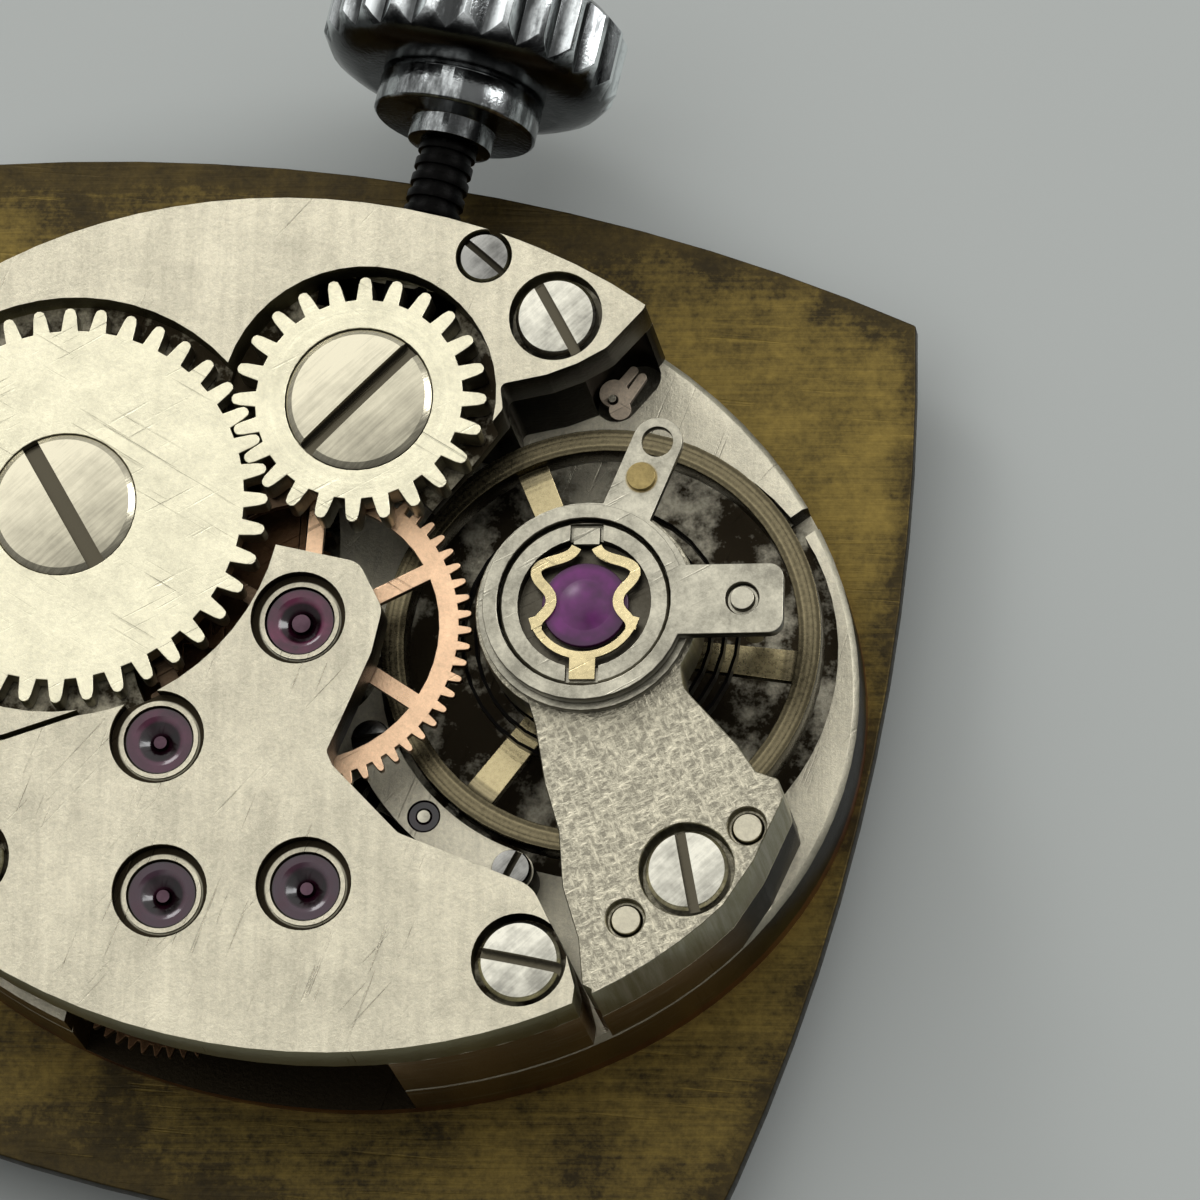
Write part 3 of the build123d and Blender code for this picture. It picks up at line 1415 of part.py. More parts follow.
def make_lower_block():
    """The plate's sprung setting for the lower balance pivot."""
    body = disc(lower_block_radius, dial_thick + motion_play, lever_floor, balance_at)
    body -= disc(lower_jewel_radius + seat_gap, dial_thick, lower_jewel_top, balance_at)
    body -= disc(lower_jewel_radius / 2, dial_thick, lever_floor + overrun, balance_at)
    return body


# Winding and setting

def turned(steps):
    """A turned piece on the stem's axis, from steps of radius, start and end."""
    return Part() + [along_stem(radius, start, end) for radius, start, end in steps]


def face_teeth(inner, outer, y_start, depth, count, first):
    """Square teeth on the end face of a pinion."""
    half = math.radians(clutch_sweep_share * 180 / count)
    corners = []
    for radius, side in ((inner, -half), (outer, -half), (outer, half), (inner, half)):
        corners.append((radius * math.cos(side), radius * math.sin(side)))
    tooth = extrude(Polygon(*corners), depth)
    turned_teeth = [Rot(0, 0, first + number * 360 / count) * tooth for number in range(count)]
    return Pos(0, y_start, stem_z) * Rot(-90, 0, 0) * (Part() + turned_teeth)


def make_stem():
    half_square = stem_square / 2
    end = crown_start_y + crown_bore_depth - seat_gap
    body = turned([
        (stem_pilot_radius, stem_pilot_y, stem_square_y),
        (stem_radius, winding_start, stem_groove_y),
        (stem_groove_radius, stem_groove_y, stem_groove_y + stem_groove_width),
        (stem_radius, stem_groove_y + stem_groove_width, stem_thread_y),
        (stem_radius - stem_thread_depth, stem_thread_y, end),
    ])
    body += block(-half_square, half_square, stem_square_y, winding_start, stem_z - half_square,
                  stem_z + half_square)
    for ridge in range(stem_thread_count):
        start = stem_thread_y + (ridge + 0.5) * stem_thread_pitch
        body += along_stem(stem_radius, start, start + stem_thread_pitch / 2)
    return body


def crown_profile():
    """Half section of the crown, as radius and distance from its inner end."""
    bore = stem_radius - stem_thread_depth + seat_gap
    collar_start = crown_boss_length
    collar_end = collar_start + crown_collar_length
    under_start = collar_end + crown_groove_width
    under_end = under_start + crown_under_length
    rim_end = under_end + crown_rim_length
    section = [
        (bore, 0), (crown_boss_radius, 0), (crown_boss_radius, collar_start),
        (crown_collar_radius - crown_edge, collar_start), (crown_collar_radius, collar_start + crown_edge),
        (crown_collar_radius, collar_end), (crown_groove_radius, collar_end),
        (crown_groove_radius, under_start),
    ]
    section += [(crown_radius * wide, under_start + crown_under_length * along)
                for along, wide in crown_under_shares]
    return section + [
        (crown_radius, rim_end), (crown_top_radius, rim_end + crown_dome), (0, rim_end + crown_dome),
        (0, crown_bore_depth), (bore, crown_bore_depth),
    ]


def make_crown():
    """A crown with a boss, a plain collar, a conical underside and hollow flutes."""
    body = revolve(Plane.XZ * Polygon(*crown_profile()), Axis.Z)
    start = crown_boss_length + crown_collar_length + crown_groove_width
    end = start + crown_under_length + crown_rim_length + crown_dome
    side = [(crown_radius + deep * flute_depth, -wide * flute_half_width) for deep, wide in flute_shares]
    flute = Polygon(*(side + [(x, -y) for x, y in side[:0:-1]]))
    cutters = []
    for turn in range(flute_count):
        cutters.append(Rot(0, 0, turn * 360 / flute_count) * Pos(0, 0, start) * extrude(flute, end - start))
    body -= cutters
    return Pos(0, crown_start_y, stem_z) * Rot(-90, 0, 0) * body


def make_winding_pinion():
    module = 2 * winding_radius / winding_teeth
    leaves = leaf_face(winding_teeth, module, winding_phase)
    body = Pos(0, winding_y, stem_z) * Rot(-90, 0, 0) * extrude(leaves, winding_tooth_length)
    body += turned([(winding_hub_radius, winding_start, winding_y)])
    body += face_teeth(stem_radius + joint_gap, winding_hub_radius, winding_start - clutch_tooth_depth,
                       clutch_tooth_depth, clutch_tooth_count, 0)
    return body - along_stem(stem_radius + run_gap, clutch_y, winding_end + overrun)


def make_sliding_pinion():
    """Two toothed ends with a groove between them for the yoke's pin."""
    end = clutch_y + clutch_length
    groove = (clutch_y + end - clutch_groove_width) / 2
    body = turned([
        (clutch_radius, clutch_y + clutch_tooth_depth, groove),
        (clutch_groove_radius, groove, groove + clutch_groove_width),
        (winding_hub_radius, groove + clutch_groove_width, end - clutch_tooth_depth),
    ])
    body += face_teeth(clutch_groove_radius, clutch_radius, clutch_y, clutch_tooth_depth,
                       2 * clutch_tooth_count, 0)
    body += face_teeth(stem_radius + joint_gap, winding_hub_radius, end - clutch_tooth_depth,
                       clutch_tooth_depth, clutch_tooth_count, 180 / clutch_tooth_count)
    half = stem_square / 2 + run_gap
    return body - block(-half, half, clutch_y - overrun, end + overrun, stem_z - half, stem_z + half)


def make_setting_lever():
    """A flat lever on the long screw, with a pin in the stem's groove."""
    pin = (lever_pin_x, stem_groove_y + stem_groove_width / 2)
    face = dot(lever_boss_radius, lever_screw_at) + bar(lever_screw_at, pin, lever_arm_width)
    tail = away(lever_screw_at, lever_tail_reach, lever_tail_angle)
    face += bar(lever_screw_at, tail, lever_arm_width * 0.8)
    face -= dot(lever_shank_radius + run_gap, lever_screw_at)
    body = prism(face, lever_low, lever_low + lever_thick)
    return body + disc(lever_pin_radius, lever_low, stem_z - stem_groove_radius - lever_play, pin)


def make_yoke():
    pin = (yoke_pin_x, clutch_y + clutch_length / 2)
    face = dot(yoke_boss_radius, yoke_at) + bar(yoke_at, pin, yoke_arm_width)
    face -= dot(yoke_post_radius + run_gap, yoke_at)
    body = prism(face, lever_low, lever_low + lever_thick)
    return body + disc(yoke_pin_radius, lever_low, stem_z, pin)


def jumper_nose():
    tail = away(lever_screw_at, lever_tail_reach, lever_tail_angle)
    return (tail[0] + jumper_reach, tail[1] - jumper_reach)


def make_lever_spring():
    """The setting lever's spring: a strip whose nose stands next to the lever's tail."""
    face = dot(jumper_boss_radius, jumper_at) + bar(jumper_at, jumper_nose(), jumper_width)
    face -= dot(small_shank_radius, jumper_at)
    return prism(face, lever_low, lever_low + lever_thick)


def make_detent_plate():
    """A small flat plate on a post, with two prongs and a slit between them."""
    body_at = on_plate(detent_body_shares)
    lobe_at = on_plate(detent_lobe_shares)
    tips = [on_plate(place) for place in detent_tip_shares]
    face = dot(detent_body_radius, body_at) + dot(detent_lobe_radius, lobe_at)
    face += bar(body_at, tips[0], detent_prong_width) + bar(lobe_at, tips[1], detent_prong_width)
    face -= dot(detent_hole_radius, detent_post_at)
    return prism(face, detent_low + seat_gap, detent_low + seat_gap + detent_thick)


# Motion work

def make_hour_wheel():
    low = dial_thick + motion_play
    face = gear_face(hour_teeth, hour_module, hour_phase)
    body = Pos(0, 0, low) * extrude(face, motion_thick)
    body += disc(hour_hub_radius, low, low + motion_thick + motion_play)
    body += disc(hour_pipe_radius, 0, low) + disc(hour_seat_radius, -hour_pipe_drop, 0)
    return body - disc(cannon_pipe_radius + run_gap, -hour_pipe_drop - overrun, recess_top)


def make_minute_wheel():
    low = dial_thick + cannon_leaf_rise + motion_play
    phase = mesh_phase(centre_at, minute_at, cannon_teeth, minute_teeth, bearing(centre_at, minute_at))
    face = gear_face(minute_teeth, minute_module, phase)
    body = Pos(minute_x, minute_y, low) * extrude(face, motion_thick)
    leaf_low = dial_thick + motion_play
    leaves = leaf_face(minute_pinion_leaves, hour_module, bearing(minute_at, centre_at))
    body += Pos(minute_x, minute_y, leaf_low) * extrude(leaves, low - leaf_low)
    return body - disc(minute_post_radius + run_gap, dial_thick, recess_top, minute_at)


def make_setting_wheel():
    low = dial_thick + cannon_leaf_rise + motion_play
    phase = mesh_phase(minute_at, setting_at, minute_teeth, setting_teeth, minute_phase)
    face = gear_face(setting_teeth, minute_module, phase)
    body = Pos(setting_x, setting_y, low) * extrude(face, setting_thick)
    return body - disc(minute_post_radius + run_gap, dial_thick, bridge_low, setting_at)


# Click

def click_nose():
    """The tip of the click, in the gap between two ratchet teeth."""
    pitch = 360 / ratchet_teeth
    gap = math.floor((click_nose_angle - ratchet_phase) / pitch) + 0.5
    reach = tip_radius(ratchet_teeth, winding_module) - click_nose_depth
    return away(barrel_at, reach, ratchet_phase + gap * pitch)


def click_face(extra):
    """The click seen from above: a round boss and a tapered nose towards the ratchet."""
    nose = click_nose()
    line = math.radians(bearing(click_at, nose))
    half = click_boss_radius * 0.85 + extra
    side = (-math.sin(line) * half, math.cos(line) * half)
    tip = (nose[0] + math.cos(line) * extra, nose[1] + math.sin(line) * extra)
    wedge = Polygon((click_at[0] - side[0], click_at[1] - side[1]), tip,
                    (click_at[0] + side[0], click_at[1] + side[1]))
    return dot(click_boss_radius + extra, click_at) + wedge


def click_room():
    low = wheel_top - click_thick - floor_gap
    room = click_face(click_recess_radius - click_boss_radius)
    spring = bar(on_plate(click_spring_start_shares), on_plate(click_spring_end_shares),
                 4 * click_spring_width)
    return prism(room + spring, low, bridge_top + overrun)


def make_click():
    low = wheel_top - click_thick
    face = click_face(0) - dot(lever_shank_radius + run_gap, click_at)
    return prism(face, low, wheel_top)


def make_click_screw():
    return screw(click_at, 10, click_screw_head, wheel_top + floor_gap, click_screw_thick,
                 small_slot_width, small_slot_depth / 2, lever_shank_radius, bridge_low,
                 edge=screw_edge / 2)


def make_click_spring():
    low = wheel_top - click_thick
    start = on_plate(click_spring_start_shares)
    strip = bar(start, on_plate(click_spring_end_shares), click_spring_width)
    strip += dot(2 * click_spring_width, start)
    return prism(strip, low, low + click_thick * 0.8)


# Every part, by the name of its file

parts = {
    "dial_plate": make_dial,
    "main_plate": make_plate,
    "barrel_bridge": make_barrel_bridge,
    "train_bridge": make_train_bridge,
    "balance_cock": make_balance_cock,
    "pallet_cock": make_pallet_cock,
    "bridge_screws": make_bridge_screws,
    "small_screws": make_small_screws,
    "steady_pins": make_steady_pins,
    "bridge_jewels": make_bridge_jewels,
    "small_jewels": make_small_jewels,
    "shock_block": make_shock_block,
    "shock_spring": make_shock_spring,
    "cap_jewel": make_cap_jewel,
    "balance_hole_jewel": make_hole_jewel,
    "lower_shock_block": make_lower_block,
    "click_spring": make_click_spring,
    "click_screw": make_click_screw,
    "crown_wheel_core": make_crown_wheel_core,
    "crown_wheel_screw": make_crown_wheel_screw,
    "setting_lever_spring": make_lever_spring,
    "detent_plate": make_detent_plate,
    "barrel_drum": make_barrel_drum,
    "barrel_cover": make_barrel_cover,
    "mainspring": make_mainspring,
    "barrel_arbor": make_barrel_arbor,
    "ratchet_wheel": make_ratchet_wheel,
    "ratchet_wheel_screw": make_ratchet_screw,
    "crown_wheel": make_crown_wheel,
    "winding_pinion": make_winding_pinion,
    "sliding_pinion": make_sliding_pinion,
    "winding_stem": make_stem,
    "crown": make_crown,
    "centre_wheel": make_centre_wheel,
    "centre_pinion": make_centre_pinion,
    "cannon_pinion": make_cannon_pinion,
    "third_wheel": make_third_wheel,
    "third_pinion": make_third_pinion,
    "fourth_wheel": make_fourth_wheel,
    "fourth_pinion": make_fourth_pinion,
    "escape_wheel": make_escape_wheel,
    "escape_pinion": make_escape_pinion,
    "pallet_fork": make_pallet_fork,
    "pallet_stones": make_pallet_stones,
    "pallet_arbor": make_pallet_arbor,
    "balance_wheel": make_balance_wheel,
    "balance_staff": make_balance_staff,
    "roller": make_roller,
    "impulse_jewel": make_impulse_jewel,
    "hairspring": make_hairspring,
    "hairspring_collet": make_hairspring_collet,
    "hairspring_stud": make_stud,
    "stud_carrier": make_stud_carrier,
    "regulator": make_regulator,
    "minute_wheel": make_minute_wheel,
    "hour_wheel": make_hour_wheel,
    "setting_wheel": make_setting_wheel,
    "click": make_click,
    "setting_lever": make_setting_lever,
    "yoke": make_yoke,
}

os.makedirs("parts", exist_ok=True)
for name, make in parts.items():
    export_step(make(), "parts/" + name + ".step")
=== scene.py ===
import bpy
import bmesh
import json
import math
from mathutils import Matrix, Vector

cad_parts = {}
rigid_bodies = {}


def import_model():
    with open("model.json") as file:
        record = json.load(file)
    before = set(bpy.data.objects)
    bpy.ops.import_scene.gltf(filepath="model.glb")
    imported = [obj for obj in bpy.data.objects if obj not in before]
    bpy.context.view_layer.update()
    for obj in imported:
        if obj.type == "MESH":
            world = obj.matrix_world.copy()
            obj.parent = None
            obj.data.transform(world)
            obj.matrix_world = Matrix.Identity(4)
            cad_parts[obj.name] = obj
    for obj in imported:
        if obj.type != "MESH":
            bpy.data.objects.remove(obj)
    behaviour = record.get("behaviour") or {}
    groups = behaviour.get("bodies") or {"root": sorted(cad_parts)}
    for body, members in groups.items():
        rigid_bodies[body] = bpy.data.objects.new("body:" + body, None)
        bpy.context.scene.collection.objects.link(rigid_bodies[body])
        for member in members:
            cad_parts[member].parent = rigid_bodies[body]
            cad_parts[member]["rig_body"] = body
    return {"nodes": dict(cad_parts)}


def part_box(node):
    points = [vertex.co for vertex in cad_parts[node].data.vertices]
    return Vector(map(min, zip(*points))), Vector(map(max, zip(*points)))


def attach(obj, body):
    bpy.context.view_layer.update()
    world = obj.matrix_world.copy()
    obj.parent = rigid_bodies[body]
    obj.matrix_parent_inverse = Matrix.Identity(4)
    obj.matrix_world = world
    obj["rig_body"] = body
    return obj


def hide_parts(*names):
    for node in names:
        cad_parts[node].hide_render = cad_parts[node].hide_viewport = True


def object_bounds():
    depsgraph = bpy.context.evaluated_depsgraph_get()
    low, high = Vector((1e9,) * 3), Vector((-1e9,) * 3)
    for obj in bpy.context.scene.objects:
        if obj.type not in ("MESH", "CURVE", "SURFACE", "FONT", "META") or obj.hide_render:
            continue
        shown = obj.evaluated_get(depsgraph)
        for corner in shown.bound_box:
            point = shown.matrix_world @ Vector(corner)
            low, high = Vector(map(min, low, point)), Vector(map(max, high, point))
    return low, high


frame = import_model()
cad_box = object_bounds()

# A ladies' hand-wound watch movement, seen from its bridges, with its dial face down. Sizes are in
# metres in the frame of the solids: X along the movement, Y to the crown, Z from the dial up. The
# patterns of the finishes are in millimetres.

bl_info = {
    "name": "Watch movement",
    "version": (1, 0, 0),
    "blender": (4, 5, 0),
    "location": "View3D > Sidebar > Movement",
    "description": "Dresses the solids of a small hand-wound watch movement",
    "category": "Object",
}

MM = 0.001
PER_METRE = 1000.0

# Upright axes, in metres
BALANCE_AXIS = (3.95 * MM, 0.87 * MM, 0)
RATCHET_AXIS = (-3.69 * MM, 1.01 * MM, 0)
CROWN_WHEEL_AXIS = (0.07 * MM, 3.29 * MM, 0)
BOSS_AXIS = (4.296 * MM, 2.830 * MM, 0)

# Levels above the dial's face, in millimetres
STEM_LEVEL = 1.95
BRIDGE_RECESS_LEVEL = 3.68
PLATE_RECESS_LEVEL = 1.60
RECESS_FADE = 0.12
WELL_LEVELS = (3.87, 3.86)
FOOT_LEVELS = (0.68, 0.62)
PIT_LEVELS = (1.0, 1.1)
REGULATOR_FLOOR_LEVELS = (4.12, 4.08)

# Radii where a finish, painted shade and painted light start and where they are full, in millimetres
WELL_INNER_RADII = (0.56, 0.585)
WELL_OUTER_RADII = (0.70, 0.675)
PIT_RADII = (5.0, 4.5)
POCKET_RADII = (1.1, 0.7)
RATCHET_SHADE_RADII = (3.4, 3.1)
BALANCE_RIM_RADII = (2.55, 2.62)
BOSS_RADII = (0.235, 0.205)
REGULATOR_FLOOR_RADII = (1.0, 0.96)
JEWEL_SINK_RADII = (0.31, 0.27)
JEWEL_EDGE_RADII = (0.45, 0.475)
CAP_JEWEL_RADII = (0.50, 0.60)
CROWN_RIM_RADII = (2.02, 2.16)
CROWN_VALLEY_SHADE_RADII = (2.11, 2.03)

# The same for places along an axis, in millimetres
DIAL_CROWN_SPAN = (4.6, 7.8)
DIAL_LEFT_SPAN = (7.0, 0.5)
DIAL_FAR_SPAN = (-2.0, -8.0)
LIT_RUBY_SPAN = (-3.6, -0.6)
CROWN_VALLEY_SHADE_SPAN = (8.55, 8.75)
CROWN_NECK_SPAN = (8.6, 8.4)
SLOT_DROPS = (-0.055, -0.12)

# The dial's outline: rise of the arcs on its right and left sides and on its other two sides, and
# the width of its dark rim
DIAL_BULGES = (0.81, 0.83)
DIAL_RIM_WIDTH = 0.7

# How meshes are cleaned, marked and shaded
OWN_PLACE = "local"
JOIN_DISTANCE = 0.0002 * MM
FLAT_DEGREES = 0.6
SMOOTH_DEGREES = 32.0
SCREW_SMOOTH_DEGREES = 28.0
EASED_DEGREES = 40.0
EASED_SEGMENTS = 2
LYRE_EDGE_SHARE = 2.5
LEVEL_COSINE = 0.9999

# How screws are measured, in millimetres and shares of their radius, and made
SCREW_STEP = 0.01
SLOT_FLOOR_BAND = 0.005
HEAD_SIDE_SHARE = 0.93
HEAD_RIM_SHARE = 0.99
SLOT_REACH_SHARE = 0.5
HEAD_SIDES = 72
HEAD_RINGS = 12
SHANK_SIDES = 32

# The stage, in metres, with the sky's levels from below to overhead and the camera's sensor in
# millimetres
FLOOR_REACH = 0.6
SKY_MIDDLE = (-0.15, 0.30, 0.94)
SKY_LEVELS = ((0.0, 0.03), (0.30, 0.12), (0.55, 0.55), (0.80, 1.05), (1.0, 1.05))
CAMERA_SHADE_COSINES = (0.90, 0.98)
LAMP_SIZE = 0.12
KEY_PLACE = (-0.22, 0.22, 0.20)
SIDE_PLACE = (0.22, 0.16, 0.16)
SENSOR_WIDTH = 36.0
CLIP = (0.005, 5.0)


def linear(red, green, blue):
    """A colour as it looks on screen, turned into scene light."""
    def one(value):
        share = value / 255
        return share / 12.92 if share <= 0.04045 else ((share + 0.055) / 1.055) ** 2.4
    return (one(red), one(green), one(blue), 1.0)


def dimmed(colour, share):
    return tuple(channel * share for channel in colour[:3]) + (1.0,)


# Node trees

class Signal:
    """One socket of a tree. Python's operators add Math nodes to it."""

    def __init__(self, nodes, socket):
        self.nodes = nodes
        self.socket = socket

    def math(self, operation, *others):
        values = {index: value for index, value in enumerate((self, *others))}
        return self.nodes.node("ShaderNodeMath", {"operation": operation}, values)

    def turned(self, operation, other):
        return self.nodes.node("ShaderNodeMath", {"operation": operation}, {0: other, 1: self})

    def __add__(self, other):
        return self.math("ADD", other)

    def __radd__(self, other):
        return self.math("ADD", other)

    def __sub__(self, other):
        return self.math("SUBTRACT", other)

    def __rsub__(self, other):
        return self.turned("SUBTRACT", other)

    def __mul__(self, other):
        return self.math("MULTIPLY", other)

    def __rmul__(self, other):
        return self.math("MULTIPLY", other)

    def __truediv__(self, other):
        return self.math("DIVIDE", other)

    def __gt__(self, other):
        return self.math("GREATER_THAN", other)

    def clamp(self):
        return self.nodes.node("ShaderNodeClamp", {}, {"Value": self})

    def swing(self, reach):
        """A noise's swing about its middle, times a reach."""
        return (self - 0.5) * reach

    def past(self, edge, slope):
        """0 up to an edge, then rising by a slope to 1."""
        return ((self - edge) * slope).clamp()

    def between(self, low, high):
        """0 at low, 1 at high, clamped; low may be the larger."""
        return ((self - low) * (1 / (high - low))).clamp()


class Nodes:
    """A node tree that grows by expressions."""

    def __init__(self, tree):
        self.tree = tree
        tree.nodes.clear()

    def feed(self, socket, value):
        if isinstance(value, Signal):
            self.tree.links.new(value.socket, socket)
        elif isinstance(value, list):
            for one in value:
                self.feed(socket, one)
        else:
            socket.default_value = value

    def node(self, kind, settings=None, values=None, result=0):
        node = self.tree.nodes.new(kind)
        for key, value in (settings or {}).items():
            if key == "stops":
                ramp = node.color_ramp
                while len(ramp.elements) < len(value):
                    ramp.elements.new(1.0)
                for element, (place, colour) in zip(ramp.elements, value):
                    element.position = place
                    element.color = colour
            else:
                setattr(node, key, value)
        for key, value in (values or {}).items():
            self.feed(node.inputs[key], value)
        return Signal(self, node.outputs[result]) if len(node.outputs) else None

    def parts(self, vector):
        return [self.node("ShaderNodeSeparateXYZ", {}, {0: vector}, axis) for axis in range(3)]

    def length(self, *sides):
        total = sides[0] * sides[0]
        for side in sides[1:]:
            total = total + side * side
        return total.math("SQRT")


class Finish(Nodes):
    """One material, built around a Principled shader."""

    def __init__(self, name):
        self.material = bpy.data.materials.new(name)
        self.material.use_nodes = True
        super().__init__(self.material.node_tree)
        output = self.tree.nodes.new("ShaderNodeOutputMaterial")
        self.shader = self.tree.nodes.new("ShaderNodeBsdfPrincipled")
        self.tree.links.new(self.shader.outputs[0], output.inputs[0])

    def set(self, **values):
        for key, value in values.items():
            self.feed(self.shader.inputs[key.replace("_", " ")], value)

    def place(self, stretch=(1.0, 1.0, 1.0), turn=0.0, centre=(0, 0, 0)):
        """Object coordinates in millimetres, moved to a centre, turned and stretched."""
        point = self.node("ShaderNodeTexCoord", {}, {}, "Object")
        point = self.node("ShaderNodeVectorMath", {"operation": "SUBTRACT"}, {0: point, 1: centre})
        if turn:
            point = self.node("ShaderNodeMapping", {}, {
                "Vector": point, "Rotation": (0, 0, -math.radians(turn))})
        scale = tuple(side * PER_METRE for side in stretch)
        return self.node("ShaderNodeVectorMath", {"operation": "MULTIPLY"}, {0: point, 1: scale})

    def height(self):
        return self.parts(self.place())[2]

    def own_place(self):
        """The place within each solid, in millimetres, as mark_local() stores it."""
        spot = self.node("ShaderNodeAttribute", {"attribute_name": OWN_PLACE}, {}, "Vector")
        return self.parts(spot)

    def normal(self):
        """The three parts of the way that a face looks."""
        return self.parts(self.node("ShaderNodeTexCoord", {}, {}, "Normal"))

    def upward(self):
        """1 on a level face, 0 on a wall."""
        return self.normal()[2]

    def from_axis(self, centre):
        """Distance from an upright axis, in millimetres."""
        across, along, _ = self.parts(self.place(centre=centre))
        return self.length(across, along)

    def noise(self, where, scale, detail, rough):
        return self.node("ShaderNodeTexNoise", {}, {
            "Vector": where, "Scale": scale, "Detail": detail, "Roughness": rough})

    def grain(self, scale, detail, rough):
        """Noise with no direction, at a number of spots to the millimetre."""
        return self.noise(self.place(), scale, detail, rough)

    def streaks(self, stretch, detail, rough, turn=0.0):
        """Noise that is drawn out where its stretch is small."""
        return self.noise(self.place(stretch, turn), 1.0, detail, rough)

    def rings(self, centre, fine):
        """Thin rings round an upright axis, as on a turned face."""
        away = self.from_axis(centre)
        where = self.node("ShaderNodeCombineXYZ", {}, {0: away * fine})
        return self.noise(where, 1.0, 3.0, 0.6)

    def scratches(self, turn, long, fine, keep=0.66):
        """Thin, broken lines in one direction, as a share from 0 to 1."""
        lines = self.streaks((long, fine, long), 2.0, 0.5, turn)
        breaks = self.grain(0.9, 2.0, 0.5)
        return lines.past(keep, 12.0) * breaks.past(0.44, 6.0)

    def walls(self, level, upright):
        """0 on faces as flat as a level, 1 on those as steep as an upright."""
        return self.upward().between(level, upright)

    def mix(self, share, a, b):
        return self.node("ShaderNodeMix", {"data_type": "RGBA"}, {0: share, 6: a, 7: b}, 2)

    def bump(self, height, depth):
        return self.node("ShaderNodeBump", {}, {"Height": height, "Strength": 1.0,
                                                "Distance": depth * MM})


# Finishes, with painted light and shade

def dial_rim(finish, width):
    """1 on the dial's outline, 0 further in than a width in millimetres."""
    reach = [side * PER_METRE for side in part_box("dial_plate")[1][:2]]
    corner = [far - rise for far, rise in zip(reach, DIAL_BULGES)]
    sides = [side.math("ABSOLUTE") for side in finish.parts(finish.place())[:2]]
    rims = []
    for axis, rise in enumerate(DIAL_BULGES):
        radius = (corner[1 - axis] ** 2 + rise ** 2) / (2 * rise)
        away = finish.length(sides[axis] + (radius - reach[axis]), sides[1 - axis])
        rims.append(away.between(radius - width, radius))
    return rims[0].math("MAXIMUM", rims[1])


def aged_brass(metals):
    """The dial's bare back: brushed brass, browned by age, with painted shadow near the movement, a
    darker rim and near black painted shade on its edge.
    """
    finish = Finish("Aged brass")
    patches = finish.grain(0.34, 5.0, 0.66)
    stains = finish.grain(1.3, 4.0, 0.7)
    fine = finish.grain(9.0, 4.0, 0.75)
    brush = finish.streaks((0.45, 15.0, 0.45), 3.0, 0.6, 11)
    strokes = finish.scratches(6, 0.3, 16.0, 0.63)
    across, along, _ = finish.parts(finish.place())
    rim = dial_rim(finish, DIAL_RIM_WIDTH)
    # Painted shadow near the movement, on the crown's side and towards the far side, and a darker rim.
    darkened = (along.between(*DIAL_CROWN_SPAN) * across.between(*DIAL_LEFT_SPAN) * 0.75
               + along.between(*DIAL_FAR_SPAN) * 0.4 + rim * rim * 0.55)
    share = (0.53 + patches.swing(1.3) + stains.swing(1.0) + brush.swing(0.8)
             + fine.swing(0.8) - darkened + strokes * 0.3).clamp()
    cloud = (stains.swing(2.6) + fine.swing(1.8) + 0.5).clamp()
    dark = finish.mix(cloud, dimmed(metals.brass_dark, 0.6), dimmed(metals.brass_dark, 1.5))
    colour = finish.mix(share, dark, metals.brass)
    # Painted shade: upright faces near black.
    wall = finish.walls(0.75, 0.35)
    colour = finish.mix(wall * 0.8, colour, dimmed(metals.brass_dark, 0.22))
    finish.set(Base_Color=colour, Metallic=0.7, Roughness=0.46 + brush.swing(0.35),
               Normal=finish.bump(brush + fine * 0.5 - strokes * 0.5, 0.007))
    return finish.material


def plated(metals, name, tint, walls, recess_level, rough, wells=()):
    """Plated brass: a dull grain, patches and fine scratches, with painted shade where it is sunk or
    upright and in a groove round each of its jewels, and painted light in patches on the sunk floors."""
    finish = Finish(name)
    pocket = axis_of(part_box("detent_plate"))
    grain = finish.grain(16.0, 5.0, 0.8)
    patches = finish.grain(1.1, 6.0, 0.7)
    brush = finish.streaks((7.0, 0.45, 7.0), 4.0, 0.6, 12)
    strokes = finish.scratches(82, 0.35, 22.0, 0.65) + finish.scratches(60, 0.4, 26.0, 0.68)
    share = ((patches - 0.27) * 2.1 + grain.swing(1.9) + brush.swing(1.1)
             - strokes * 0.35).clamp()
    colour = finish.mix(share, dimmed(tint, 0.66), tint)
    # Painted shade and painted reflection: upright faces take the darker wall colour.
    wall = finish.walls(0.8, 0.4)
    lines = finish.streaks((0.6, 0.6, 12.0), 3.0, 0.7)
    side = finish.mix(lines.past(0.55, 5.0) * 0.55, walls, dimmed(tint, 0.5))
    # Painted shade: darker still on the walls round the balance's pit.
    inner = finish.from_axis(BALANCE_AXIS).between(*PIT_RADII)
    side = finish.mix(inner, side, dimmed(metals.recess_shade, 0.5))
    foot = finish.height().between(*FOOT_LEVELS)
    side = finish.mix(foot, side, metals.lip)
    colour = finish.mix(wall, colour, side)
    # Painted shade below the recess level, lifted by painted light in noise patches and round the
    # detent's pocket.
    sunk = finish.height().between(recess_level, recess_level - RECESS_FADE) * (1 - wall)
    lit_share = finish.grain(1.1, 5.0, 0.7).past(0.47, 7.0) * 0.7
    lit_share = lit_share * finish.height().between(*PIT_LEVELS)
    lit_share = lit_share + finish.from_axis(pocket).between(*POCKET_RADII) * 0.35
    colour = finish.mix(sunk * (1 - lit_share), colour, metals.recess_shade)
    if wells:
        away = finish.from_axis(wells[0])
        for well in wells[1:]:
            away = away.math("MINIMUM", finish.from_axis(well))
        # Painted shadow in a groove round each jewel's setting.
        groove = away.between(*WELL_INNER_RADII) * away.between(*WELL_OUTER_RADII)
        groove = groove * finish.height().between(*WELL_LEVELS)
        colour = finish.mix(groove, colour, dimmed(metals.recess_shade, 0.9))
    finish.set(Base_Color=colour, Metallic=1.0,
               Roughness=rough + patches.swing(0.25) - strokes * 0.1,
               Normal=finish.bump(grain + brush * 0.5 - strokes * 0.6, 0.009))
    return finish.material


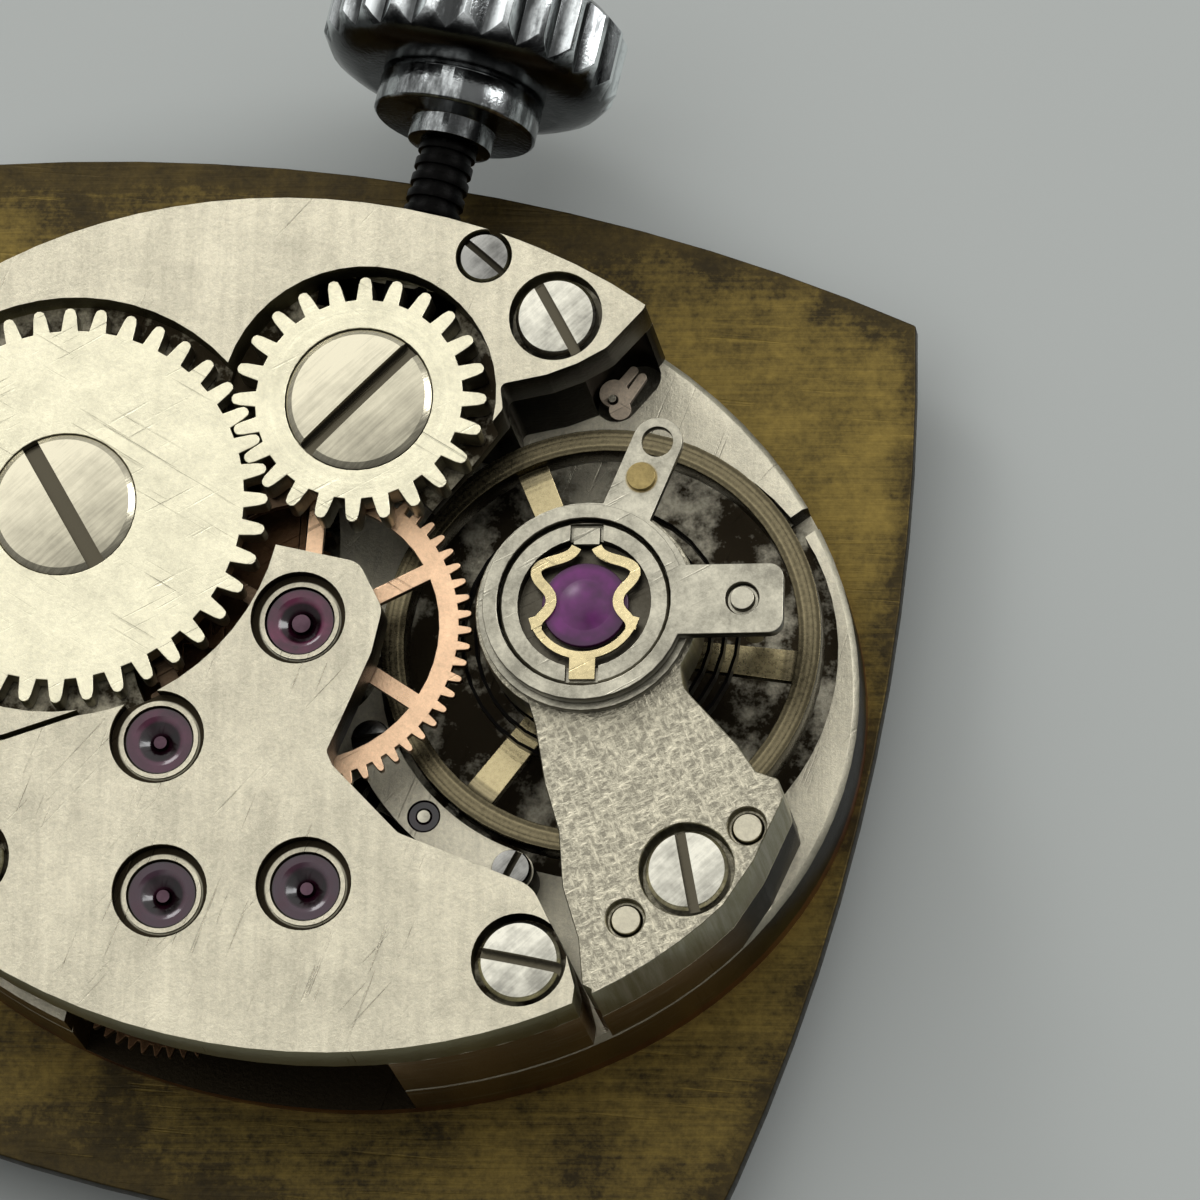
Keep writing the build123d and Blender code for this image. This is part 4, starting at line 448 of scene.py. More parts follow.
def grained_nickel(metals):
    """The balance cock: short tool marks in two directions on top, upright strokes on its walls, which
    take painted shade.
    """
    finish = Finish("Grained nickel")
    one = finish.streaks((6.5, 15.0, 6.5), 3.0, 0.7, 34)
    other = finish.streaks((15.0, 6.5, 6.5), 3.0, 0.7, 34)
    marks = one.math("MAXIMUM", other)
    fine = finish.grain(24.0, 3.0, 0.7)
    top = finish.upward().between(0.8, 0.95)
    tint = metals.nickel
    share = ((marks - 0.45) * 4.2 + fine.swing(1.1)).clamp()
    flat = finish.mix(share, dimmed(tint, 0.40), tint)
    strokes = finish.streaks((11.0, 11.0, 0.5), 3.0, 0.7)
    # Painted shade: the walls take the darker wall colour under their upright strokes.
    side = finish.mix(strokes.past(0.36, 3.2), metals.wall, dimmed(tint, 0.62))
    colour = finish.mix(top, side, flat)
    finish.set(Base_Color=colour, Metallic=1.0, Roughness=0.40 + fine.swing(0.25),
               Normal=finish.bump(marks * top + fine * 0.3, 0.022))
    return finish.material


def wheel_metal(name, tint, rough=0.3, centre=None, dull=0.66, under=None, metallic=1.0):
    """A lapped wheel with stains and fine strokes, turned rings where it has a centre, painted shade on
    its upright faces, and painted shade where it lies under another wheel."""
    finish = Finish(name)
    patches = finish.grain(1.6, 6.0, 0.7)
    fine = finish.grain(16.0, 5.0, 0.8)
    strokes = finish.scratches(40, 0.5, 20.0, 0.63) + finish.scratches(-20, 0.4, 22.0, 0.65)
    share = (patches - 0.28) * 2.2 + fine.swing(1.7) - strokes * 0.5
    height = fine - strokes
    if centre:
        rings = finish.rings(centre, 9.0)
        share = share + rings.swing(1.0)
        height = height + rings
    colour = finish.mix(share.clamp(), dimmed(tint, dull), tint)
    # Painted shade on upright faces.
    wall = finish.walls(0.7, 0.3)
    colour = finish.mix(wall * 0.75, colour, dimmed(tint, 0.18))
    if under:
        shade = finish.from_axis(under).between(*RATCHET_SHADE_RADII) * 0.9
        colour = finish.mix(shade, colour, dimmed(tint, 0.08))
    finish.set(Base_Color=colour, Metallic=metallic, Roughness=rough + patches.swing(0.2),
               Normal=finish.bump(height, 0.006))
    return finish.material


def balance_metal(metals):
    """The balance: a browned rim with turned rings, and paler arms."""
    finish = Finish("Balance nickel")
    away = finish.from_axis(BALANCE_AXIS)
    rings = finish.rings(BALANCE_AXIS, 7.0)
    fine = finish.grain(14.0, 4.0, 0.7)
    tint = metals.balance
    share = ((rings - 0.45) * 6.0 + fine.swing(0.9)).clamp()
    rim = finish.mix(share, dimmed(tint, 0.22), tint)
    arm = finish.mix(fine.past(0.3, 2.0), dimmed(metals.gold, 0.5), dimmed(metals.gold, 0.8))
    colour = finish.mix(away.between(*BALANCE_RIM_RADII), arm, rim)
    # Painted shade on upright faces.
    wall = finish.walls(0.7, 0.3)
    colour = finish.mix(wall * 0.75, colour, dimmed(tint, 0.15))
    finish.set(Base_Color=colour, Metallic=1.0, Roughness=0.28 + fine.swing(0.2),
               Normal=finish.bump(rings + fine * 0.4, 0.006))
    return finish.material


def steel(name, tint, rough=0.16):
    """Polished steel: bright with clouded, darker patches, and painted shade on its upright faces."""
    finish = Finish(name)
    smear = finish.grain(1.9, 4.0, 0.6)
    fine = finish.grain(30.0, 2.0, 0.7)
    strokes = finish.scratches(40, 0.8, 26.0)
    share = ((smear - 0.40) * 4.0 + fine.swing(0.5) - strokes * 0.4).clamp()
    colour = finish.mix(share, dimmed(tint, 0.55), tint)
    # Painted shade on upright faces.
    wall = finish.walls(0.75, 0.3)
    colour = finish.mix(wall * 0.6, colour, dimmed(tint, 0.10))
    finish.set(Base_Color=colour, Metallic=1.0, Roughness=rough + smear * 0.14,
               Normal=finish.bump(strokes + fine * 0.3, 0.003))
    return finish.material


def regulator_steel(metals):
    """The regulator's ring and arms: aged steel with a brass boss at the curb pins, with painted shade on
    its upright faces and on its low faces by the balance's axis.
    """
    finish = Finish("Regulator steel")
    smear = finish.grain(1.6, 5.0, 0.7)
    fine = finish.grain(16.0, 5.0, 0.8)
    strokes = finish.scratches(40, 0.6, 20.0, 0.63)
    tint = metals.steel
    share = ((smear - 0.34) * 2.8 + fine.swing(1.6) - strokes * 0.4).clamp()
    colour = finish.mix(share, dimmed(tint, 0.45), tint)
    # Painted shade on upright faces.
    wall = finish.walls(0.8, 0.35)
    colour = finish.mix(wall * 0.85, colour, dimmed(tint, 0.08))
    boss = finish.from_axis(BOSS_AXIS).between(*BOSS_RADII)
    brass = finish.mix(share, dimmed(metals.boss, 0.5), metals.boss)
    colour = finish.mix(boss, colour, brass)
    # Painted shade on the low faces round the balance's axis.
    low = finish.from_axis(BALANCE_AXIS).between(*REGULATOR_FLOOR_RADII)
    low = low * finish.height().between(*REGULATOR_FLOOR_LEVELS)
    colour = finish.mix(low * 0.85, colour, metals.recess_shade)
    finish.set(Base_Color=colour, Metallic=1.0, Roughness=0.24 + smear * 0.14,
               Normal=finish.bump(strokes + fine * 0.5, 0.004))
    return finish.material


def screw_steel(name, tint, slot_tint, cloud):
    """A screw's polished head: brushed and clouded, painted lighter to one side, with a dull slot whose
    walls are painted near black as shade.
    """
    finish = Finish(name)
    across, along, drop = finish.own_place()
    smear = finish.grain(2.3, 4.0, 0.6)
    brush = finish.streaks((1.2, 20.0, 1.2), 3.0, 0.65, 55)
    # Painted light and shade: the head is lighter towards its +Y side and darker towards its +X side.
    share = (smear.swing(cloud) + brush.swing(0.9) - across * 0.35 + along * 0.45 + 0.62).clamp()
    colour = finish.mix(share, dimmed(tint, 0.40), tint)
    # Painted shade: the slot's walls near black.
    slot = drop.between(*SLOT_DROPS)
    wall = finish.walls(0.5, 0.2)
    sunk = finish.mix(wall, slot_tint, dimmed(slot_tint, 0.12))
    colour = finish.mix(slot, colour, sunk)
    finish.set(Base_Color=colour, Metallic=1.0, Roughness=0.14 + brush * 0.16,
               Normal=finish.bump(brush, 0.003))
    return finish.material


def crown_steel(metals):
    """The crown: bright rounded flutes, with painted highlights on their tips and on faces turned away
    from the movement, painted shade between them, on its neck and underneath.
    """
    finish = Finish("Crown steel")
    across, along, up = finish.parts(finish.place())
    radius = finish.length(across, up - STEM_LEVEL)
    smear = finish.streaks((2.4, 0.7, 2.4), 4.0, 0.65)
    fine = finish.grain(14.0, 3.0, 0.7)
    light = metals.crown
    facing = finish.normal()[1]
    # Painted highlights: lighter on the flutes' tips and on faces turned away from the movement.
    share = ((smear - 0.43) * 5.5 + fine.swing(0.7) + radius.between(*CROWN_RIM_RADII) * 0.7
             + facing.between(0.4, 0.9) * 0.9).clamp()
    colour = finish.mix(share, dimmed(light, 0.12), light)
    # Painted shade in the valleys between the flutes.
    valley_shade = radius.between(*CROWN_VALLEY_SHADE_RADII) * along.between(*CROWN_VALLEY_SHADE_SPAN)
    colour = finish.mix(valley_shade * 0.9, colour, dimmed(light, 0.05))
    # Painted shade on the neck.
    neck = along.between(*CROWN_NECK_SPAN)
    colour = finish.mix(neck * (1 - share * 0.5) * 0.75, colour, dimmed(light, 0.10))
    # Painted shade underneath.
    under = facing.between(-0.3, -0.9)
    colour = finish.mix(under * (1 - share * 0.2), colour, dimmed(light, 0.06))
    finish.set(Base_Color=colour, Metallic=1.0, Roughness=0.17 + smear.swing(0.2),
               Normal=finish.bump(fine, 0.004))
    return finish.material


def blackened(metals, name):
    """Oiled dark steel, as on the stem's thread."""
    finish = Finish(name)
    fine = finish.grain(12.0, 4.0, 0.7)
    share = fine.past(0.52, 4.0)
    colour = finish.mix(share, dimmed(metals.dark, 0.35), metals.dark)
    finish.set(Base_Color=colour, Metallic=0.8, Roughness=0.42 + fine.swing(0.3),
               Specular_IOR_Level=0.15, Normal=finish.bump(fine, 0.006))
    return finish.material


def ruby(metals):
    """A train jewel: a clouded ring round a dark oil sink, with painted light on the jewels near the
    movement's middle and painted shade on its edge.
    """
    finish = Finish("Ruby")
    across, along, _ = finish.own_place()
    radius = finish.length(across, along)
    cloud = finish.grain(2.2, 3.0, 0.6)
    tint = metals.ruby
    # Painted light: jewels near the middle take the lit ruby, the others the greyer, darker ring colour.
    clear = finish.parts(finish.place())[1].between(*LIT_RUBY_SPAN)
    pale = finish.mix(clear, metals.ruby_ring, metals.ruby_lit)
    ring = finish.mix(cloud.past(0.35, 2.6), dimmed(tint, 0.8), pale)
    sink = finish.mix(cloud.past(0.45, 3.0), dimmed(tint, 0.08), dimmed(tint, 0.5))
    colour = finish.mix(radius.between(*JEWEL_SINK_RADII), ring, sink)
    # Painted shadow on the jewel's edge.
    colour = finish.mix(radius.between(*JEWEL_EDGE_RADII), colour, dimmed(tint, 0.06))
    finish.set(Base_Color=colour, Roughness=0.16, IOR=1.6)
    return finish.material


def violet_ruby(metals):
    """The balance's domed cap jewel: violet, with painted light towards its upper left and painted shade
    on its edge.
    """
    finish = Finish("Cap jewel")
    across, along, _ = finish.parts(finish.place(centre=BALANCE_AXIS))
    cloud = finish.grain(1.8, 3.0, 0.6)
    tint = metals.violet
    # Painted light and shade: lighter towards the upper left, darker towards the lower right.
    share = (0.5 - across * 0.7 + along * 0.5 + cloud.swing(2.4)).clamp()
    colour = finish.mix(share, dimmed(tint, 0.25), tint)
    # Painted shade on the edge of the dome.
    edge = finish.length(across, along).between(*CAP_JEWEL_RADII)
    colour = finish.mix(edge, colour, dimmed(tint, 0.25))
    finish.set(Base_Color=colour, Roughness=0.3, IOR=1.5)
    return finish.material


# Pieces

def body_of(node):
    return frame["nodes"][node]["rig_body"]


def new_piece(name, data):
    piece = bpy.data.objects.new(name, data)
    bpy.context.scene.collection.objects.link(piece)
    return piece


def stands_for(piece, node):
    """Sets a piece in its solid's place."""
    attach(piece, body_of(node))
    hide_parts(node)


def plain_mesh(piece):
    """The evaluated shape of a piece, kept as a mesh with no modifiers."""
    graph = bpy.context.evaluated_depsgraph_get()
    mesh = bpy.data.meshes.new_from_object(piece.evaluated_get(graph))
    piece.modifiers.clear()
    old = piece.data
    piece.data = mesh
    bpy.data.meshes.remove(old)


def smooth_shade(mesh, degrees=SMOOTH_DEGREES):
    """Smooth faces, with the edges sharp that turn by more than an angle."""
    for face in mesh.polygons:
        face.use_smooth = True
    mesh.set_sharp_from_angle(angle=math.radians(degrees))


def level_normals(mesh):
    """Sets the normals of level faces exactly upright, so that long faces show no streaks."""
    normals = [corner.vector.copy() for corner in mesh.corner_normals]
    for face in mesh.polygons:
        if abs(face.normal.z) > LEVEL_COSINE:
            for index in face.loop_indices:
                normals[index] = face.normal.copy()
    mesh.normals_split_custom_set(normals)


def merged(node, name):
    """A copy of a solid's mesh with its points joined and its flat faces whole."""
    mesh = frame["nodes"][node].data.copy()
    mesh.name = name
    work = bmesh.new()
    work.from_mesh(mesh)
    bmesh.ops.remove_doubles(work, verts=work.verts, dist=JOIN_DISTANCE)
    bmesh.ops.dissolve_limit(work, angle_limit=math.radians(FLAT_DEGREES), verts=work.verts,
                             edges=work.edges)
    work.to_mesh(mesh)
    work.free()
    mesh.materials.clear()
    return mesh


def islands(mesh):
    """The numbers of the points of each separate solid of a mesh, from left to right."""
    parent = list(range(len(mesh.vertices)))

    def root(index):
        while parent[index] != index:
            parent[index] = parent[parent[index]]
            index = parent[index]
        return index

    for edge in mesh.edges:
        parent[root(edge.vertices[0])] = root(edge.vertices[1])
    groups = {}
    for index in range(len(parent)):
        groups.setdefault(root(index), []).append(index)
    return sorted(groups.values(), key=lambda group: min(mesh.vertices[index].co.x for index in group))


def middle_of(points):
    """The middle of a group of points seen from above, at its highest level."""
    lows = [min(point[axis] for point in points) for axis in range(3)]
    highs = [max(point[axis] for point in points) for axis in range(3)]
    return Vector(((lows[0] + highs[0]) / 2, (lows[1] + highs[1]) / 2, highs[2]))


def axis_of(points):
    """The upright axis through the middle of a group of points."""
    middle = middle_of(points)
    return (middle.x, middle.y, 0.0)


def mark_local(mesh):
    """Stores each point's place from the top middle of its own solid, in millimetres."""
    local = mesh.attributes.new(OWN_PLACE, "FLOAT_VECTOR", "POINT")
    for group in islands(mesh):
        middle = middle_of([mesh.vertices[index].co for index in group])
        for index in group:
            local.data[index].vector = (mesh.vertices[index].co - middle) * PER_METRE


def eased(node, width):
    """A copy of a solid whose sharp edges are eased."""
    mesh = merged(node, node + "_eased")
    piece = new_piece(node + "_eased", mesh)
    smooth_shade(mesh)
    bevel = piece.modifiers.new("Edges", "BEVEL")
    bevel.width = width
    bevel.segments = EASED_SEGMENTS
    bevel.limit_method = "ANGLE"
    bevel.angle_limit = math.radians(EASED_DEGREES)
    bevel.use_clamp_overlap = True
    even = piece.modifiers.new("Flats", "WEIGHTED_NORMAL")
    even.mode = "FACE_AREA"
    even.weight = 100
    even.keep_sharp = False
    plain_mesh(piece)
    level_normals(piece.data)
    return piece


def dress(material, width, *nodes, local=False):
    """Gives solids their finish, and eased edges where there is a width."""
    for node in nodes:
        if width == 0:
            mesh = frame["nodes"][node].data
            mesh.materials.clear()
            mesh.materials.append(material)
            continue
        piece = eased(node, width)
        if local:
            mark_local(piece.data)
        piece.data.materials.append(material)
        stands_for(piece, node)


# Screws

SCREW_INPUTS = (
    ("Head radius", "NodeSocketFloat"), ("Head height", "NodeSocketFloat"), ("Dome", "NodeSocketFloat"),
    ("Bevel", "NodeSocketFloat"), ("Slot width", "NodeSocketFloat"), ("Slot depth", "NodeSocketFloat"),
    ("Shank radius", "NodeSocketFloat"), ("Shank length", "NodeSocketFloat"),
    ("Metal", "NodeSocketMaterial"),
)


def screw_tree():
    """Nodes that set a slotted screw on every point, turned as the point says."""
    tree = bpy.data.node_groups.new("Slotted screws", "GeometryNodeTree")
    tree.interface.new_socket(name="Points", in_out="INPUT", socket_type="NodeSocketGeometry")
    for name, kind in SCREW_INPUTS:
        tree.interface.new_socket(name=name, in_out="INPUT", socket_type=kind)
    tree.interface.new_socket(name="Screws", in_out="OUTPUT", socket_type="NodeSocketGeometry")
    nodes = Nodes(tree)

    def given(name):
        return nodes.node("NodeGroupInput", {}, {}, name)

    def vector(x, y, z):
        return nodes.node("ShaderNodeCombineXYZ", {}, {0: x, 1: y, 2: z})

    head_radius, head_height = given("Head radius"), given("Head height")
    disc = nodes.node("GeometryNodeMeshCylinder", {"fill_type": "TRIANGLE_FAN"}, {
        "Vertices": HEAD_SIDES, "Side Segments": 1, "Fill Segments": HEAD_RINGS,
        "Radius": head_radius, "Depth": head_height}, "Mesh")
    across, along, up = nodes.parts(nodes.node("GeometryNodeInputPosition"))
    share = nodes.length(across, along) / head_radius
    rise = (1 - share * share) * given("Dome") - (share > HEAD_RIM_SHARE) * given("Bevel")
    head = nodes.node("GeometryNodeSetPosition", {}, {
        "Geometry": disc, "Selection": up > 0.0, "Offset": vector(0.0, 0.0, rise)})
    bar = nodes.node("GeometryNodeMeshCube", {}, {
        "Size": vector(head_radius * 3, given("Slot width"), given("Slot depth") * 2)}, "Mesh")
    bar = nodes.node("GeometryNodeTransform", {}, {
        "Geometry": bar, "Translation": vector(0.0, 0.0, head_height / 2)})
    head = nodes.node("GeometryNodeMeshBoolean", {"operation": "DIFFERENCE"}, {
        "Mesh 1": head, "Mesh 2": bar}, "Mesh")
    shank = nodes.node("GeometryNodeMeshCylinder", {}, {
        "Vertices": SHANK_SIDES, "Radius": given("Shank radius"), "Depth": given("Shank length")}, "Mesh")
    shank = nodes.node("GeometryNodeTransform", {}, {
        "Geometry": shank,
        "Translation": vector(0.0, 0.0, (head_height + given("Shank length")) * -0.5)})
    screw = nodes.node("GeometryNodeJoinGeometry", {}, {"Geometry": [head, shank]})
    turn = nodes.node("GeometryNodeInputNamedAttribute", {"data_type": "FLOAT"}, {
        "Name": "turn"}, "Attribute")
    turn = nodes.node("FunctionNodeEulerToRotation", {}, {"Euler": vector(0.0, 0.0, turn)})
    screws = nodes.node("GeometryNodeInstanceOnPoints", {}, {
        "Points": given("Points"), "Instance": screw, "Rotation": turn, "Scale": (MM, MM, MM)})
    screws = nodes.node("GeometryNodeRealizeInstances", {}, {"Geometry": screws})
    screws = nodes.node("GeometryNodeSetMaterial", {}, {"Geometry": screws, "Material": given("Metal")})
    nodes.node("NodeGroupOutput", {}, {"Screws": screws})
    return tree


def measured_screw(points):
    """A screw's place, its turn and its sizes in millimetres, read from its solid's points."""
    middle = middle_of(points)
    local = [(point - middle) * PER_METRE for point in points]
    radius = max(point.xy.length for point in local)
    head_low = min(point.z for point in local if point.xy.length > HEAD_SIDE_SHARE * radius)
    shank = [point for point in local if point.z < head_low - SCREW_STEP]
    sunk = [point for point in local if head_low + SCREW_STEP < point.z < -SCREW_STEP]
    slot_low = min(point.z for point in sunk)
    floor = [point for point in sunk if point.z < slot_low + SLOT_FLOOR_BAND]
    angles = [2 * math.atan2(point.y, point.x) for point in floor
              if point.xy.length > SLOT_REACH_SHARE * radius]
    turn = math.atan2(sum(map(math.sin, angles)), sum(map(math.cos, angles))) / 2
    half = [abs(point.y * math.cos(turn) - point.x * math.sin(turn)) for point in floor]
    sizes = {"Head radius": radius, "Head height": -head_low, "Slot width": 2 * max(half),
             "Slot depth": -slot_low, "Shank radius": max(point.xy.length for point in shank),
             "Shank length": head_low - min(point.z for point in shank)}
    return middle, turn, sizes


def slotted_screws(node, material, edges, tree):
    """Rounded, slotted screws in the place of a solid's flat ones."""
    mesh = merged(node, node + "_solid")
    measures = [measured_screw([mesh.vertices[index].co for index in group]) for group in islands(mesh)]
    bpy.data.meshes.remove(mesh)
    whole = bmesh.new()
    for middle, turn, sizes in measures:
        centre = middle - Vector((0, 0, sizes["Head height"] / 2)) * MM
        points = bpy.data.meshes.new(node + "_point")
        points.from_pydata([centre], [], [])
        points.attributes.new("turn", "FLOAT", "POINT").data[0].value = turn
        piece = new_piece(node + "_one", points)
        modifier = piece.modifiers.new("Screws", "NODES")
        modifier.node_group = tree
        sizes["Slot depth"] *= edges.slot_share
        sizes["Dome"] = edges.screw_dome * PER_METRE
        sizes["Bevel"] = edges.screw_bevel * PER_METRE
        sizes["Metal"] = material
        for item in tree.interface.items_tree:
            if item.in_out == "INPUT" and item.name in sizes:
                modifier[item.identifier] = sizes[item.name]
        plain_mesh(piece)
        whole.from_mesh(piece.data)
        bpy.data.objects.remove(piece)
    made = bpy.data.meshes.new(node + "_made")
    whole.to_mesh(made)
    whole.free()
    made.materials.append(material)
    smooth_shade(made, SCREW_SMOOTH_DEGREES)
    mark_local(made)
    stands_for(new_piece(node + "_made", made), node)


# Sizes and colours

def colour_property(name, description, default):
    return bpy.props.FloatVectorProperty(name=name, description=description, default=default, size=4,
                                         min=0, max=1, subtype="COLOR")


def length_property(name, description, default):
    return bpy.props.FloatProperty(name=name, description=description, default=default * MM, min=0,
                                   unit="LENGTH", precision=6)


class MovementMetals(bpy.types.PropertyGroup):
    """Colours of the metals and jewels, and of the painted shade and light on them."""
    brass: colour_property("Brass", "The dial's back where it is bright", linear(138, 117, 55))
    brass_dark: colour_property("Dark brass", "The dial's back where it is browned", linear(58, 47, 18))
    nickel: colour_property("Nickel", "Bridges and balance cock", linear(213, 206, 183))
    plate: colour_property("Plate", "The main plate's rim", linear(226, 219, 196))
    # Painted shade and painted reflection: the darker colours that upright faces take.
    wall: colour_property("Bridge walls", "Side walls of the bridges", linear(140, 135, 106))
    plate_wall: colour_property("Plate walls", "Side walls of the main plate", linear(116, 92, 60))
    lip: colour_property("Plate's foot", "Lowest band of the main plate", linear(128, 84, 60))
    # Painted shade: the dark colour laid on sunk floors, on the walls round the balance's pit, in the
    # grooves round the jewels and on the regulator's low faces.
    recess_shade: colour_property("Recess shade", "Floors of the recesses", linear(46, 40, 30))
    winding: colour_property("Winding wheels", "Ratchet and crown wheel", linear(242, 236, 207))
    rose: colour_property("Gilt", "Centre wheel", linear(250, 210, 172))
    deep: colour_property("Shaded gilt", "Wheels deep in the movement", linear(112, 84, 60))
    balance: colour_property("Balance", "Balance rim and arms", linear(160, 148, 116))
    steel: colour_property("Steel", "Levers and rings", linear(204, 199, 180))
    screw: colour_property("Screws", "Screw heads", linear(228, 225, 210))
    small_screw: colour_property("Small screws", "Lever and pallet screws", linear(158, 157, 152))
    winding_screw: colour_property("Winding screws", "Screws of the two wheels", linear(228, 221, 196))
    slot: colour_property("Slots", "Screw slots", linear(86, 81, 68))
    crown: colour_property("Crown", "Winding crown", linear(236, 241, 242))
    dark: colour_property("Dark steel", "Stem and springs", linear(14, 13, 12))
    gold: colour_property("Gold", "Shock spring", linear(240, 222, 172))
    boss: colour_property("Brass boss", "Stud and small brass pieces", linear(176, 156, 104))
    detent: colour_property("Detent", "Detent plate", linear(236, 216, 190))
    pivot: colour_property("Pivots", "Pinions and their pivots", linear(98, 76, 86))
    ruby: colour_property("Ruby", "Train jewels", linear(60, 12, 38))
    # Painted light: the lit and the greyer, shaded colours of the same ruby ring.
    ruby_lit: colour_property("Lit ruby", "Ring of the middle jewels", linear(108, 28, 68))
    ruby_ring: colour_property("Ruby ring", "Clouded ring of the train jewels", linear(50, 34, 48))
    violet: colour_property("Cap jewel", "The balance's cap jewel", linear(112, 28, 110))


class MovementEdges(bpy.types.PropertyGroup):
    """Widths of the eased edges and the form of the screw heads."""
    bridge: length_property("Bridge edge", "Eased edge of plates and bridges", 0.03)
    wheel: length_property("Wheel edge", "Eased edge of wheels and teeth", 0.012)
    small: length_property("Small edge", "Eased edge of rings, jewels and small steel", 0.012)
    crown: length_property("Crown edge", "Eased edge of the crown's flutes", 0.04)
    dial: length_property("Dial edge", "Eased edge of the dial", 0.03)
    screw_dome: length_property("Screw dome", "Rise of a screw's head to its middle", 0.03)
    screw_bevel: length_property("Screw bevel", "Drop of a screw's rim", 0.05)
    slot_share: bpy.props.FloatProperty(
        name="Slot depth", description="Depth of a slot as a share of the solid's",
        default=1.35, min=0.5, max=1.6, subtype="FACTOR")


class MovementStage(bpy.types.PropertyGroup):
    """Camera, floor and lamps."""
    camera_place: bpy.props.FloatVectorProperty(
        name="Camera", description="Where the camera stands", size=3,
        default=(25.272 * MM, -28.512 * MM, 108.123 * MM), subtype="TRANSLATION", unit="LENGTH")
    camera_forward: bpy.props.FloatVectorProperty(
        name="Forward", description="The way the camera looks", size=3,
        default=(-0.19183, 0.26768, -0.94422), subtype="DIRECTION")
    camera_up: bpy.props.FloatVectorProperty(
        name="Up", description="The camera's upward direction", size=3,
        default=(-0.1773, 0.9368, 0.3016), subtype="DIRECTION")
    lens: bpy.props.FloatProperty(name="Lens", description="Focal length in millimetres",
                                  default=240.0, min=1, subtype="DISTANCE_CAMERA", unit="CAMERA")
    floor: colour_property("Floor", "Floor and backdrop", linear(175, 179, 177))
    world_level: bpy.props.FloatProperty(name="World", description="Strength of the light all round",
                                         default=1.1, min=0)
    key_power: bpy.props.FloatProperty(name="Key lamp", description="Power of the main soft lamp",
                                       default=0.28, min=0, unit="POWER")
    fill_power: bpy.props.FloatProperty(name="Side lamp", description="Power of the side lamp",
                                        default=0.30, min=0, unit="POWER")


GROUPS = {"metals": MovementMetals, "edges": MovementEdges, "stage": MovementStage}


# Operators

class Dressing:
    """What the operators of the pieces share: each builds its own with the metals and edges."""

    def execute(self, context):
        self.build(context.scene.movement_metals, context.scene.movement_edges)
        return {"FINISHED"}


class MOVEMENT_OT_dial(Dressing, bpy.types.Operator):
    """The cushion-shaped brass dial, seen from its back"""
    bl_idname = "movement.dial"
    bl_label = "Dial"

    def build(self, metals, edges):
        dress(aged_brass(metals), edges.dial, "dial_plate")


class MOVEMENT_OT_bridges(Dressing, bpy.types.Operator):
    """The main plate, its bridges and the balance cock"""
    bl_idname = "movement.bridges"
    bl_label = "Plate and bridges"

    def build(self, metals, edges):
        mesh = merged("bridge_jewels", "jewel_places")
        wells = [axis_of([mesh.vertices[index].co for index in group]) for group in islands(mesh)]
        bpy.data.meshes.remove(mesh)
        bridge = plated(metals, "Satin nickel", metals.nickel, metals.wall, BRIDGE_RECESS_LEVEL, 0.34,
                        wells)
        plate = plated(metals, "Plate nickel", metals.plate, metals.plate_wall, PLATE_RECESS_LEVEL, 0.4)
        dress(plate, edges.bridge, "main_plate")
        dress(bridge, edges.bridge, "barrel_bridge", "train_bridge")
        dress(grained_nickel(metals), edges.bridge, "balance_cock")
        dress(plate, edges.bridge, "pallet_cock")


class MOVEMENT_OT_winding(Dressing, bpy.types.Operator):
    """The ratchet wheel and crown wheel, with the click beside them"""
    bl_idname = "movement.winding"
    bl_label = "Winding wheels"

    def build(self, metals, edges):
        dress(wheel_metal("Ratchet nickel", metals.winding, 0.36, dull=0.72),
              edges.wheel, "ratchet_wheel")
        dress(wheel_metal("Crown wheel nickel", metals.winding, 0.34, CROWN_WHEEL_AXIS, 0.72),
              edges.wheel, "crown_wheel")
        dress(steel("Click steel", metals.steel), edges.wheel,
              "click", "click_spring", "crown_wheel_core")


class MOVEMENT_OT_train(Dressing, bpy.types.Operator):
    """The barrel and the gilt wheels of the going train with their steel pinions"""
    bl_idname = "movement.train"
    bl_label = "Barrel and train"

    def build(self, metals, edges):
        dress(wheel_metal("Gilt wheel", metals.rose, 0.3, under=RATCHET_AXIS),
              edges.wheel, "centre_wheel")
        deep = wheel_metal("Shaded gilt", metals.deep, 0.34)
        dress(deep, edges.wheel, "third_wheel", "fourth_wheel")
        dress(deep, 0, "barrel_drum", "barrel_cover", "minute_wheel", "hour_wheel")
        dress(steel("Pinion steel", metals.pivot, 0.3), 0,
              "centre_pinion", "third_pinion", "fourth_pinion", "escape_pinion")
        dress(steel("Train steel", metals.steel, 0.2), 0,
              "escape_wheel", "barrel_arbor", "cannon_pinion", "setting_wheel")
        dress(blackened(metals, "Mainspring steel"), 0, "mainspring")


class MOVEMENT_OT_escapement(Dressing, bpy.types.Operator):
    """The pallet fork, the roller and the arbors of the lever escapement"""
    bl_idname = "movement.escapement"
    bl_label = "Escapement"

    def build(self, metals, edges):
        dress(steel("Escapement steel", metals.steel), 0,
              "pallet_fork", "pallet_arbor", "roller", "balance_staff")


class MOVEMENT_OT_balance(Dressing, bpy.types.Operator):
    """The balance wheel with its hairspring"""
    bl_idname = "movement.balance"
    bl_label = "Balance"

    def build(self, metals, edges):
        dress(balance_metal(metals), edges.wheel, "balance_wheel")
        dress(steel("Hairspring steel", metals.dark, 0.3), 0, "hairspring")
        dress(wheel_metal("Collet brass", metals.boss), 0, "hairspring_collet")


